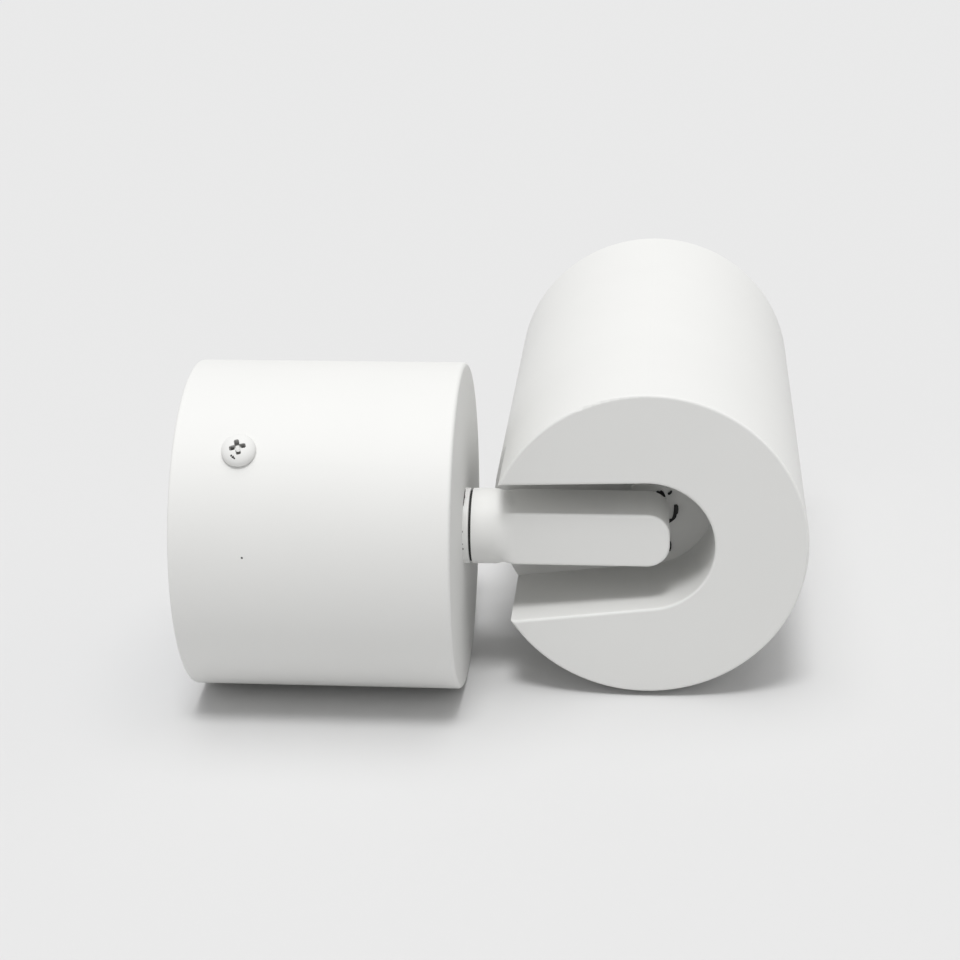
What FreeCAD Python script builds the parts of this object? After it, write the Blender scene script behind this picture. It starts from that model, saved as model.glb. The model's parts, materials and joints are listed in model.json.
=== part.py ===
"""Surface mounted ceiling spotlight, lying on its side as on a table.

The origin is the middle of the drum's open ceiling side. +X runs along the drum to the arm and the
head, +Y is where the lamp shines, and +Z is up. Lengths are in millimetres, angles in degrees.
"""
import FreeCAD, Part
import math
import os

Vector = FreeCAD.Vector
X_AXIS = Vector(1, 0, 0)
Y_AXIS = Vector(0, 1, 0)
Z_AXIS = Vector(0, 0, 1)
ORIGIN = Vector(0, 0, 0)

# Clearances
turning_gap = 0.05  # a shaft or a tongue that turns in its seat, each side
thread_gap = 0.03  # a thread drawn as a plain cylinder, radial
close_gap = 0.15  # a shank or a sleeve in a plain hole, radial
slip_gap = 0.3  # what only has to drop into place, each side
overcut = 1.0  # how far a cutting tool runs past the face that it opens

# Base drum
drum_d = 58.0
drum_length = 47.5
drum_wall = 2.0
drum_face = 3.0
drum_front_round = 0.7
drum_rim_round = 0.4

# Screws through the drum's side
side_screw_turn = 47.0  # above the horizontal, towards the side that faces the viewer
side_screw_x = 11.5
side_screw_d = 3.0
side_screw_head_d = 5.9
side_screw_head_h = 1.7
recess_w = 0.9
recess_l = 3.1
recess_turn = 20.0
recess_depth_share = 0.75  # of a screw head's height
head_dome_share = 0.6  # of a screw head's height

# Plate on the ceiling
plate_t = 1.2
ceiling_slot_spacing = 38.0
ceiling_slot_w = 4.4
ceiling_slot_l = 9.0
cable_hole_d = 12.0
ear_w = 10.0
ear_t = 1.5
ear_past_screw = 5.0
ear_collar_wall = 1.1
ear_collar_l = 1.2
ear_corner = 2.5

# Cable bush
bush_bore_d = 8.0
bush_flange_d = 16.0
bush_flange_t = 1.4

# Terminal block and what is fixed beside it
pole_count = 3
pole_pitch = 8.0
block_w = 14.0
block_h = 12.0
block_from_bush = 0.5
block_edge_round = 0.6
barrel_d = 4.2
barrel_bore_d = 2.8
barrel_from_plate = 6.0
barrel_inset = 0.6
clamp_screw_d = 2.6
clamp_screw_offset = 3.6
clamp_screw_slot = 0.6
clamp_screw_sunk = 1.0
block_screw_d = 2.6
block_screw_head_d = 5.4
block_screw_head_h = 1.8
earth_screw_d = 4.0
earth_screw_head_d = 7.0
earth_screw_head_h = 2.2
earth_screw_from_edge = 11.7  # of the plate
lug_ring_d = 8.0
lug_ring_t = 0.8
lug_barrel_d = 3.4
lug_barrel_l = 6.0
lug_neck_l = 1.2
lug_overlap = 0.5  # of ring, neck and barrel, where they join
lug_wire_depth = 3.0

# Wires and their sleeve
wire_d = 1.6
wire_in_barrel = 2.0
wire_bend = 3.0
wire_rise = 4.5  # straight out of the barrel
wire_ease = 3.0  # the wires' bends on each side of where they meet the axis
wire_dip = 1.5  # below the axis before they meet it
earth_wire_bend = 1.8
earth_wire_rise = 5.0
earth_wire_bow = 9.5  # sideways from its pole at its widest
wire_spread = 2.0
wire_gather = 9.0  # length over which the wires come together on the axis
sleeve_d = 3.6
sleeve_inner_bend = 0.5
sleeve_lead = 0.5  # straight before the elbow
sleeve_past_stem = 2.0

# Swivel
stem_d = 8.0
stem_wall = 1.5
stem_in_arm = 5.9
stem_past_nut = 1.5
ring_d = 13.4
ring_t = 1.0
ring_round = 0.2
friction_washer_d = 12.6
friction_washer_t = 0.45
glide_washer_d = 17.0
glide_washer_t = 1.0
stop_washer_d = 16.0
stop_washer_t = 1.2
stop_tab_past_pin = 1.1
stop_tab_w = 1.6
stop_tab_turn = 90.0  # from +Y towards +Z, in the pose shown
stop_pin_d = 2.0
stop_pin_radius = 11.5
stop_pin_depth = 1.5
swivel_low = -250.0
swivel_high = 90.0
spring_d = 15.0
spring_t = 0.8
spring_rise = 0.6
stem_nut_flats = 13.0
stem_nut_t = 4.0
lock_nut_t = 3.0
nut_chamfer = 0.7
nut_corner_margin = 0.15  # the chamfer starts this far outside the corners

# Arm
neck_length = 3.9
neck_blend = 4.0  # length over which the round neck turns into the bar
bar_height = 9.8
bar_depth = 12.0
bar_corner = 4.0
bar_edge_round = 0.5
blend_steps = 4  # sections in the blend, beside its first
bar_past_pivot = 4.0

# Tilt hinge
pivot_from_drum = 32.3
slit_front_wall = 2.4
pivot_pin_d = 3.5
pin_cover = 1.0
pin_recess = 0.2
pin_grip = 0.01  # radial, the pin in the arm
tongue_w = 6.2
sleeve_from_tongue = 0.5
foot_reach = 3.4
foot_height = 8.4
foot_t = 1.2
foot_corner = 1.0
tail_d = 5.0
tail_offset = 0.6
tail_past_nut = 0.6
lug_nut_flats = 8.0
lug_nut_t = 3.2
lug_washer_d = 7.6
lug_washer_t = 1.0

# Head housing, made round the lamp
lamp_room = 1.0  # between the lamp's rim and the housing, radial
head_wall = 2.0
rear_from_pivot = 8.5
rear_wall = 2.5
rear_round = 0.5
front_round = 0.4
slot_w = 23.6
slot_depth = 19.8
slot_wall = 2.2
slot_floor_t = 2.5
slot_draft = 2.5
slot_turn = 4.2  # the slot's mouth sits a little low, turned about the head's axis

# Lamp holder on its bracket
post_d = 6.4
post_spacing = 33.0
post_past_floor = 5.2
bracket_w = 16.0
bracket_t = 1.2
bracket_margin = 3.5
bracket_corner = 2.8
bracket_screw_l = 6.0
m3_d = 3.0
m3_head_d = 5.5
m3_head_h = 1.8
holder_d = 26.0
holder_h = 13.5
holder_round = 1.0
holder_screw_spacing = 18.0
holder_screw_l = 7.0
holder_pin_depth = 8.0
holder_pin_bore_d = 5.4
sleeve_in_holder = 1.5

# Lamp
lamp_from_holder = 0.2
lamp_pin_spacing = 10.0
lamp_pin_d = 3.2
lamp_pin_head_d = 4.9
lamp_pin_l = 7.2
lamp_pin_head_t = 2.0
lamp_d = 50.0
lamp_base_d = 22.0
lamp_base_l = 13.0
lamp_neck_d = 27.0
lamp_neck_step = 1.5
lamp_cone_l = 27.0
lamp_length = 49.2
lamp_wall = 1.4
lamp_rim_step = 0.6
board_t = 1.4
board_from_front = 7.4
chip_count = 7
chip_ring_radius = 11.5
chip_w = 3.0
chip_t = 0.8
lens_t = 2.2
lens_recess = 0.5
lens_skirt_t = 1.2

# Front ring
seal_t = 0.6
seal_w = 1.2
ring_length = 5.3
ring_front_recess = 0.5
ring_lip = 1.2  # inwards over the lamp's rim
ring_flare = 0.9  # wider at the front than at the lip

# Places that follow from the sizes above
drum_r = drum_d / 2
drum_bore_r = drum_r - drum_wall
face_inside_x = drum_length - drum_face
plate_r = drum_bore_r - slip_gap
earth_screw_z = plate_r - earth_screw_from_edge
block_from_axis = bush_flange_d / 2 + block_from_bush
ear_outside = math.sqrt(plate_r**2 - (ear_w / 2) ** 2)
ring_end_x = drum_length + ring_t
arm_start_x = ring_end_x + friction_washer_t
neck_end_x = arm_start_x + neck_length
bar_start_x = neck_end_x + neck_blend
pivot_x = drum_length + pivot_from_drum
bar_end_x = pivot_x + bar_past_pivot
stem_end_x = arm_start_x + stem_in_arm
glide_x = face_inside_x - glide_washer_t
stop_x = glide_x - stop_washer_t
spring_x = stop_x - spring_t - spring_rise
stem_nut_x = spring_x - stem_nut_t
lock_nut_x = stem_nut_x - lock_nut_t
stem_start_x = lock_nut_x - stem_past_nut
sleeve_start_x = stem_start_x - sleeve_past_stem
sleeve_side_x = pivot_x - tongue_w / 2 - sleeve_from_tongue - sleeve_d / 2
sleeve_bend = sleeve_d / 2 + sleeve_inner_bend
sleeve_way_r = sleeve_d / 2 + slip_gap
slit_start_x = sleeve_side_x - sleeve_bend - sleeve_lead
rear_y = -rear_from_pivot
floor_y = rear_y + slot_depth
floor_inside_y = floor_y + slot_floor_t
foot_y = floor_y - foot_t
lug_nut_y = floor_inside_y + lug_washer_t
post_end_y = floor_inside_y + post_past_floor
holder_y = post_end_y + bracket_t
lamp_base_y = holder_y + holder_h + lamp_from_holder
lamp_front_y = lamp_base_y + lamp_length
ring_start_y = lamp_front_y + seal_t
front_y = ring_start_y + ring_length + ring_front_recess
head_bore_r = lamp_d / 2 + lamp_room
head_r = head_bore_r + head_wall


def bar_of(axis, radius, start, end, u=0.0, v=0.0):
    """A round bar along a row axis. u and v place it on the other two axes, in X, Y, Z order."""
    low, high = min(start, end), max(start, end)
    places = {"x": (low, u, v), "y": (u, low, v), "z": (u, v, low)}
    ways = {"x": X_AXIS, "y": Y_AXIS, "z": Z_AXIS}
    return Part.makeCylinder(radius, high - low, Vector(*places[axis]), ways[axis])


def ring_of(axis, outer, inner, start, end, u=0.0, v=0.0):
    """A round ring along a row axis."""
    bore = bar_of(axis, inner, min(start, end) - overcut, max(start, end) + overcut, u, v)
    return bar_of(axis, outer, start, end, u, v).cut(bore)


def block_of(x, y, z):
    """A box between the pairs of limits x, y and z."""
    size = [abs(pair[1] - pair[0]) for pair in (x, y, z)]
    return Part.makeBox(*size, Vector(min(x), min(y), min(z)))


def placed(shape, at, direction):
    """The shape, made along +Z from the origin, moved to a point and turned to a direction."""
    moved = shape.copy()
    moved.Placement = FreeCAD.Placement(at, FreeCAD.Rotation(Z_AXIS, direction))
    return moved


def turned_about(shape, centre, axis, degrees):
    """The shape turned about an axis through a point."""
    moved = shape.copy()
    moved.rotate(centre, axis, degrees)
    return moved


def rounded(shape, radius, wanted):
    """The shape with every edge that passes the test wanted(edge) rounded."""
    return shape.makeFillet(radius, [edge for edge in shape.Edges if wanted(edge)])


def on_plane(edge, axis, place):
    """True for an edge that lies in the plane at a place on a row axis."""
    box = edge.BoundBox
    low, high = {"x": (box.XMin, box.XMax), "y": (box.YMin, box.YMax), "z": (box.ZMin, box.ZMax)}[axis]
    return abs(low - place) < 1e-4 and abs(high - place) < 1e-4


def along(edge, axis):
    """True for a straight edge along an axis."""
    return isinstance(edge.Curve, Part.Line) and abs(edge.Curve.Direction.dot(axis)) > 0.9999


def revolved(points, at, direction):
    """A solid of revolution. points are radius and distance along the direction, from the place at."""
    outline = Part.makePolygon([Vector(r, 0, s) for r, s in points + points[:1]])
    return placed(Part.Face(outline).revolve(ORIGIN, Z_AXIS, 360), at, direction)


def pan_screw(shank_d, shank_l, head_d, head_h, at, direction, turn=0.0):
    """A cross-recess screw with its head's underside at a point and its shank opposite the direction."""
    head = Part.makeCylinder(head_d / 2, head_h)
    head = rounded(head, head_h * head_dome_share, lambda edge: on_plane(edge, "z", head_h))
    screw = head.fuse(Part.makeCylinder(shank_d / 2, shank_l, Vector(0, 0, -shank_l)))
    length = recess_l * head_d / side_screw_head_d
    floor = head_h * (1 - recess_depth_share)
    cut = Part.makeBox(length, recess_w, head_h, Vector(-length / 2, -recess_w / 2, floor))
    screw = screw.cut([cut, turned_about(cut, ORIGIN, Z_AXIS, 90)]).removeSplitter()
    return placed(turned_about(screw, ORIGIN, Z_AXIS, turn), at, direction)


def hex_nut(across_flats, thickness, bore_r, at, direction, turn=0.0):
    """A hexagon nut from a point along a direction, turned about it."""
    corner = across_flats / math.sqrt(3)
    turns = [math.radians(60 * i + turn) for i in range(7)]
    outline = Part.makePolygon([Vector(corner * math.cos(a), corner * math.sin(a), 0) for a in turns])
    nut = Part.Face(outline).extrude(Vector(0, 0, thickness))
    outer = corner + nut_corner_margin
    straight = thickness - nut_chamfer
    crown = Part.makeCone(outer, outer - nut_chamfer, nut_chamfer, Vector(0, 0, straight))
    body = Part.makeCylinder(outer, straight).fuse(crown)
    bore = Part.makeCylinder(bore_r, thickness + 2 * overcut, Vector(0, 0, -overcut))
    return placed(nut.common(body).cut(bore), at, direction)


def bent_bar(points, radius, bend):
    """A round bar along straight runs that are joined by tangent arcs."""
    corners = [Vector(*p) for p in points]
    edges = []
    last = corners[0]
    for before, corner, after in zip(corners, corners[1:], corners[2:]):
        way_in = (corner - before).normalize()
        way_out = (after - corner).normalize()
        half_turn = way_in.getAngle(way_out) / 2
        reach = bend * math.tan(half_turn)
        start = corner - way_in * reach
        end = corner + way_out * reach
        inward = (way_out - way_in).normalize()
        middle = corner + inward * (bend / math.cos(half_turn) - bend)
        if (start - last).Length > 1e-6:
            edges.append(Part.makeLine(last, start))
        edges.append(Part.Arc(start, middle, end).toShape())
        last = end
    edges.append(Part.makeLine(last, corners[-1]))
    first_way = (corners[1] - corners[0]).normalize()
    section = Part.Wire(Part.makeCircle(radius, corners[0], first_way))
    return Part.Wire(edges).makePipeShell([section], True, False)


def side_screw_ways():
    """The outward directions of the two side screws, opposite each other."""
    turn = math.radians(side_screw_turn)
    first = Vector(0, -math.cos(turn), math.sin(turn))
    return [first, first * -1]


def pole_places():
    """The Y places of the terminal block's poles."""
    return [(i - (pole_count - 1) / 2) * pole_pitch for i in range(pole_count)]


def clamp_places():
    """The Z places of the two clamp screws on each pole."""
    middle = -block_from_axis - block_w / 2
    return [middle - clamp_screw_offset, middle + clamp_screw_offset]


def block_screw_place():
    """Where the terminal block's own screw stands, between two poles."""
    return pole_pitch / 2, -block_from_axis - block_w / 2


def make_base_drum():
    """Deep cup, open at the ceiling side, with holes for the stem and the side screws."""
    drum = bar_of("x", drum_r, 0, drum_length)
    drum = rounded(drum, drum_front_round, lambda edge: on_plane(edge, "x", drum_length))
    drum = rounded(drum, drum_rim_round, lambda edge: on_plane(edge, "x", 0))
    drum = drum.cut(bar_of("x", drum_bore_r, -overcut, face_inside_x))
    face = (face_inside_x - overcut, drum_length + overcut)
    drum = drum.cut(bar_of("x", stem_d / 2 + turning_gap, *face))
    for way in side_screw_ways():
        start = Vector(side_screw_x, 0, 0) + way * (drum_bore_r - overcut)
        hole_r = side_screw_d / 2 + slip_gap
        drum = drum.cut(Part.makeCylinder(hole_r, drum_wall + 2 * overcut, start, way))
    pin_seat = (face_inside_x - overcut, face_inside_x + stop_pin_depth)
    return drum.cut(bar_of("x", stop_pin_d / 2, *pin_seat, *stop_pin_place()))


def make_side_screws():
    """Pan-head screws through the drum into the ears."""
    shank_l = drum_r - ear_outside + ear_t + ear_collar_l
    return [
        pan_screw(side_screw_d, shank_l, side_screw_head_d, side_screw_head_h,
                  Vector(side_screw_x, 0, 0) + way * drum_r, way, turn=recess_turn)
        for way in side_screw_ways()
    ]


def make_ear(way):
    """One bent ear of the plate with its threaded collar."""
    across = X_AXIS.cross(way)
    length = side_screw_x + ear_past_screw
    corner = way * (ear_outside - ear_t) - across * (ear_w / 2)
    outline = [corner, corner + across * ear_w, corner + across * ear_w + way * ear_t, corner + way * ear_t]
    ear = Part.Face(Part.makePolygon(outline + outline[:1])).extrude(X_AXIS * length)
    ear = rounded(ear, ear_corner, lambda edge: along(edge, way) and on_plane(edge, "x", length))
    axis_point = Vector(side_screw_x, 0, 0)
    inward = way * -1
    collar_r = side_screw_d / 2 + ear_collar_wall
    collar_start = axis_point + way * (ear_outside - ear_t / 2)
    collar = Part.makeCylinder(collar_r, ear_collar_l + ear_t / 2, collar_start, inward)
    bore_l = ear_t + ear_collar_l + 2 * overcut
    bore_start = axis_point + way * (ear_outside + overcut)
    bore = Part.makeCylinder(side_screw_d / 2 + thread_gap, bore_l, bore_start, inward)
    return ear.fuse(collar).cut(bore)


def make_ceiling_plate():
    """Steel plate with two ceiling slots, the cable hole and two ears for the side screws."""
    plate = bar_of("x", plate_r, 0, plate_t)
    for way in side_screw_ways():
        plate = plate.fuse(make_ear(way))
    plate = plate.cut(bar_of("x", cable_hole_d / 2, -overcut, plate_t + overcut))
    run = (ceiling_slot_l - ceiling_slot_w) / 2
    for side in (-1, 1):
        middle = side * ceiling_slot_spacing / 2
        through = (-overcut, plate_t + overcut)
        slot = block_of(through, (middle - run, middle + run), (-ceiling_slot_w / 2, ceiling_slot_w / 2))
        for end in (middle - run, middle + run):
            slot = slot.fuse(bar_of("x", ceiling_slot_w / 2, *through, end, 0))
        plate = plate.cut(slot)
    for diameter, (y, z) in ((block_screw_d, block_screw_place()), (earth_screw_d, (0, earth_screw_z))):
        plate = plate.cut(bar_of("x", diameter / 2 + thread_gap, -overcut, plate_t + overcut, y, z))
    return plate.removeSplitter()


def make_cable_bush():
    """Snap-in bush in the cable hole, flush with the plate's back."""
    top = plate_t + bush_flange_t
    flange = bar_of("x", bush_flange_d / 2, plate_t, top)
    flange = rounded(flange, bush_flange_t / 2, lambda edge: on_plane(edge, "x", top))
    bush = flange.fuse(bar_of("x", cable_hole_d / 2 - thread_gap, 0, plate_t))
    return bush.cut(bar_of("x", bush_bore_d / 2, -overcut, top + overcut)).removeSplitter()


def make_terminal_block():
    """Moulded block with a barrel hole and two screw wells for each pole."""
    length = pole_pitch * pole_count
    top = plate_t + block_h
    near, far = -block_from_axis, -block_from_axis - block_w
    block = block_of((plate_t, top), (-length / 2, length / 2), (far, near))
    block = rounded(block, block_edge_round, lambda edge: on_plane(edge, "x", top))
    barrel_x = plate_t + barrel_from_plate
    for y in pole_places():
        block = block.cut(bar_of("z", barrel_d / 2 + thread_gap, far - overcut, near + overcut, barrel_x, y))
        for z in clamp_places():
            block = block.cut(bar_of("x", clamp_screw_d / 2 + slip_gap, barrel_x, top + overcut, y, z))
    return block.cut(bar_of("x", block_screw_d / 2 + close_gap, 0, top + overcut, *block_screw_place()))


def make_terminal_barrels():
    """Brass barrels that clamp the wires."""
    barrel_x = plate_t + barrel_from_plate
    near, far = -block_from_axis - barrel_inset, -block_from_axis - block_w + barrel_inset
    barrels = []
    for y in pole_places():
        barrel = ring_of("z", barrel_d / 2, barrel_bore_d / 2, far, near, barrel_x, y)
        for z in clamp_places():
            thread_r = clamp_screw_d / 2 + thread_gap
            barrel = barrel.cut(bar_of("x", thread_r, barrel_x, barrel_x + barrel_d, y, z))
        barrels.append(barrel)
    return barrels


def make_terminal_screws():
    """Slotted clamp screws, two for each pole."""
    start = plate_t + barrel_from_plate + wire_d / 2
    end = plate_t + block_h - clamp_screw_sunk
    half = clamp_screw_slot / 2
    screws = []
    for y in pole_places():
        for z in clamp_places():
            screw = bar_of("x", clamp_screw_d / 2, start, end, y, z)
            across = (z - clamp_screw_d, z + clamp_screw_d)
            slot = block_of((end - clamp_screw_slot, end + overcut), (y - half, y + half), across)
            screws.append(screw.cut(slot))
    return screws


def make_block_screw():
    """Screw that holds the terminal block on the plate."""
    y, z = block_screw_place()
    top = plate_t + block_h
    at = Vector(top, y, z)
    return pan_screw(block_screw_d, top - slip_gap, block_screw_head_d, block_screw_head_h, at, X_AXIS)


def lug_mouth_y():
    """The Y place of the open end of the earth lug's barrel."""
    return lug_overlap - lug_ring_d / 2 - lug_barrel_l


def make_earth_lug():
    """Ring lug under the earth screw, with a crimped barrel for the wire."""
    top = plate_t + lug_ring_t
    barrel_r = lug_barrel_d / 2
    neck_y = lug_overlap - lug_ring_d / 2
    mouth_y = lug_mouth_y()
    centre = (plate_t + barrel_r, earth_screw_z)
    neck_width = (earth_screw_z - barrel_r, earth_screw_z + barrel_r)
    neck = block_of((plate_t, top), (neck_y - lug_neck_l, neck_y), neck_width)
    barrel = bar_of("y", barrel_r, neck_y - lug_neck_l + lug_overlap, mouth_y, *centre)
    wire_way = (mouth_y - overcut, mouth_y + lug_wire_depth)
    barrel = barrel.cut(bar_of("y", wire_d / 2 + thread_gap, *wire_way, *centre))
    lug = bar_of("x", lug_ring_d / 2, plate_t, top, 0, earth_screw_z).fuse([neck, barrel])
    screw_r = earth_screw_d / 2 + thread_gap
    bore = bar_of("x", screw_r, plate_t - overcut, top + overcut, 0, earth_screw_z)
    return lug.cut(bore).removeSplitter()


def make_earth_screw():
    """Earth screw in the plate."""
    top = plate_t + lug_ring_t
    at = Vector(top, 0, earth_screw_z)
    return pan_screw(earth_screw_d, top - slip_gap, earth_screw_head_d, earth_screw_head_h, at, X_AXIS)


def make_supply_wire(pole, side):
    """Wire from one pole of the block to the sleeve's end on the drum's axis."""
    x = plate_t + barrel_from_plate
    y = pole_places()[pole]
    start_z = -block_from_axis - wire_in_barrel
    end_y = side * wire_spread / 2
    end_x = sleeve_start_x - slip_gap
    bend_x = end_x - wire_gather
    points = [
        (x, y, start_z),
        (x, y, start_z + wire_rise),
        (bend_x - wire_ease, (y + end_y) / 2, -wire_dip),
        (bend_x + wire_ease, end_y, 0),
        (end_x, end_y, 0),
    ]
    return bent_bar(points, wire_d / 2, wire_bend)


def make_earth_wire():
    """Earth wire from its pole to the lug."""
    x = plate_t + barrel_from_plate
    y = pole_places()[0]
    start_z = -block_from_axis - wire_in_barrel
    lug_x = plate_t + lug_barrel_d / 2
    mouth_y = lug_mouth_y()
    points = [
        (x, y, start_z),
        (x, y, start_z + earth_wire_rise),
        (x, y - earth_wire_bow + earth_wire_bend, wire_dip),
        (lug_x, y - earth_wire_bow, earth_screw_z - wire_rise),
        (lug_x, mouth_y - wire_rise, earth_screw_z),
        (lug_x, mouth_y + lug_wire_depth - close_gap, earth_screw_z),
    ]
    return bent_bar(points, wire_d / 2, earth_wire_bend)


def stop_pin_place():
    """Where the stop pin stands: opposite the tab at the middle of the swivel's range."""
    turn = math.radians(stop_tab_turn + (swivel_low + swivel_high) / 2 + 180)
    return stop_pin_radius * math.cos(turn), stop_pin_radius * math.sin(turn)


def make_stop_pin():
    """Pin pressed into the drum's face, which the stop washer's tab meets."""
    y, z = stop_pin_place()
    return bar_of("x", stop_pin_d / 2, stop_x - slip_gap, face_inside_x + stop_pin_depth, y, z)


def make_collar_ring():
    """Thin ring between the drum's face and the washer."""
    ring = bar_of("x", ring_d / 2, drum_length, ring_end_x)
    ring = rounded(ring, ring_round, lambda edge: on_plane(edge, "x", ring_end_x))
    return ring.cut(bar_of("x", stem_d / 2 + thread_gap, drum_length - overcut, ring_end_x + overcut))


def arm_section(x, share):
    """Outline across the arm: the round neck at share 0, the bar with its rounded edges at share 1."""
    half_d, half_h, turn = bar_depth / 2, bar_height / 2, bar_edge_round
    turn_middle = turn * (1 - math.sqrt(0.5))
    corner = [(half_d, 0), (half_d, half_h - turn), (half_d - turn_middle, half_h - turn_middle),
              (half_d - turn, half_h), (0, half_h)]
    upper = corner + [(-y, z) for y, z in reversed(corner[:-1])]
    outline = upper + [(y, -z) for y, z in reversed(upper[1:-1])]
    scales = [share + (1 - share) * ring_d / 2 / math.hypot(y, z) for y, z in outline]
    points = [Vector(x, y * scale, z * scale) for (y, z), scale in zip(outline, scales)]
    edges = []
    for start in range(1, len(points), 2):
        first, middle, last = points[start], points[(start + 1) % 16], points[(start + 2) % 16]
        is_flat = share == 1 and start % 4 == 3
        edges.append(Part.makeLine(first, last) if is_flat else Part.Arc(first, middle, last).toShape())
    return Part.Wire(edges)


def make_arm():
    """Round neck that turns into a flat-sided bar, bored for the wires and slit for the hinge lug."""
    half_h, half_d = bar_height / 2, bar_depth / 2
    bar = block_of((bar_start_x, bar_end_x), (-half_d, half_d), (-half_h, half_h))
    bar = rounded(bar, bar_corner, lambda edge: along(edge, Y_AXIS) and on_plane(edge, "x", bar_end_x))
    bar = rounded(bar, bar_edge_round, lambda edge: not (along(edge, Y_AXIS) or on_plane(edge, "x", bar_start_x)))
    steps = [step / blend_steps for step in range(blend_steps + 1)]
    sections = [arm_section(neck_end_x + step * neck_blend, step * step * (3 - 2 * step)) for step in steps]
    blend = Part.makeLoft(sections, True)
    arm = bar.fuse([bar_of("x", ring_d / 2, arm_start_x, neck_end_x), blend]).removeSplitter()
    arm = arm.cut(bar_of("x", stem_d / 2 + thread_gap, arm_start_x - overcut, stem_end_x + slip_gap))
    arm = arm.cut(bar_of("x", sleeve_way_r, arm_start_x, slit_start_x + overcut))
    slit_y = (slit_front_wall - half_d, half_d + overcut)
    slit = block_of((slit_start_x, bar_end_x + overcut), slit_y, (-sleeve_way_r, sleeve_way_r))
    arm = arm.cut(slit)
    pin_hole = bar_of("z", pivot_pin_d / 2 + pin_grip, -half_h - overcut, half_h - pin_cover, pivot_x, 0)
    return arm.cut(pin_hole)


def make_swivel_stem():
    """Hollow threaded stem, screwed into the arm and held by the nuts inside the drum."""
    return ring_of("x", stem_d / 2, stem_d / 2 - stem_wall, stem_start_x, stem_end_x)


def make_stop_washer():
    """Washer keyed to the stem, with a tab that ends the swivel."""
    end_x = stop_x + stop_washer_t
    washer = bar_of("x", stop_washer_d / 2, stop_x, end_x)
    tab_end = stop_pin_radius + stop_tab_past_pin
    tab = block_of((stop_x, end_x), (0, tab_end), (-stop_tab_w / 2, stop_tab_w / 2))
    washer = washer.fuse(turned_about(tab, ORIGIN, X_AXIS, stop_tab_turn))
    washer = washer.cut(bar_of("x", stem_d / 2 + thread_gap, stop_x - overcut, end_x + overcut))
    return washer.removeSplitter()


def make_disc_spring():
    """Coned spring washer that keeps the swivel stiff."""
    inner, outer = stem_d / 2 + turning_gap, spring_d / 2
    section = [(inner, 0), (outer, spring_rise), (outer, spring_rise + spring_t), (inner, spring_t)]
    return revolved(section, Vector(spring_x, 0, 0), X_AXIS)


def make_pivot_pin():
    """Pin of the tilt hinge, pushed in from below and covered on top."""
    low = -bar_height / 2 + pin_recess
    return bar_of("z", pivot_pin_d / 2, low, bar_height / 2 - pin_cover, pivot_x, 0)


def make_arm_sleeve():
    """Sleeved wires through the stem and the arm."""
    return bar_of("x", sleeve_d / 2, sleeve_start_x, slit_start_x)


def slot_block(half_w, start_y, end_y):
    """The U of the slot as a block, open towards the drum, with its round end on the head's axis."""
    draft = math.radians(slot_draft)
    mouth = head_r + 2 * overcut
    mouth_z = (half_w + mouth * math.sin(draft)) / math.cos(draft)
    side = Vector(half_w * math.sin(draft), 0, half_w * math.cos(draft))
    below = Vector(side.x, 0, -side.z)
    edges = [
        Part.makeLine(Vector(-mouth, 0, -mouth_z), below),
        Part.Arc(below, Vector(half_w, 0, 0), side).toShape(),
        Part.makeLine(side, Vector(-mouth, 0, mouth_z)),
        Part.makeLine(Vector(-mouth, 0, mouth_z), Vector(-mouth, 0, -mouth_z)),
    ]
    block = Part.Face(Part.Wire(edges)).extrude(Y_AXIS * (end_y - start_y))
    block.translate(Vector(pivot_x, start_y, 0))
    return turned_about(block, Vector(pivot_x, 0, 0), Y_AXIS, -slot_turn)


def make_head_housing():
    """Cylinder with the hinge's U-slot in its rear end, hollow from the front."""
    head = bar_of("y", head_r, rear_y, front_y, pivot_x, 0)
    head = rounded(head, front_round, lambda edge: on_plane(edge, "y", front_y))
    head = head.cut(slot_block(slot_w / 2, rear_y - overcut, floor_y))
    head = rounded(head, rear_round, lambda edge: on_plane(edge, "y", rear_y))
    hollow = bar_of("y", head_bore_r, rear_y + rear_wall, front_y + overcut, pivot_x, 0)
    hollow = hollow.cut(slot_block(slot_w / 2 + slot_wall, rear_y, floor_inside_y))
    for z in post_places():
        hollow = hollow.cut(bar_of("y", post_d / 2, rear_y, post_end_y, pivot_x, z))
    head = head.cut(hollow)
    for z in post_places():
        screw_way = (post_end_y - bracket_screw_l, post_end_y)
        head = head.cut(bar_of("y", m3_d / 2 + thread_gap, *screw_way, pivot_x, z))
    tail_x = pivot_x + tail_offset
    through = (floor_y - overcut, floor_inside_y + overcut)
    for diameter, x in ((tail_d, tail_x), (sleeve_d, sleeve_side_x)):
        head = head.cut(bar_of("y", diameter / 2 + close_gap, *through, x, 0))
    return head.removeSplitter()


def post_places():
    """The Z places of the posts that carry the holder's bracket."""
    return [-post_spacing / 2, post_spacing / 2]


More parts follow.
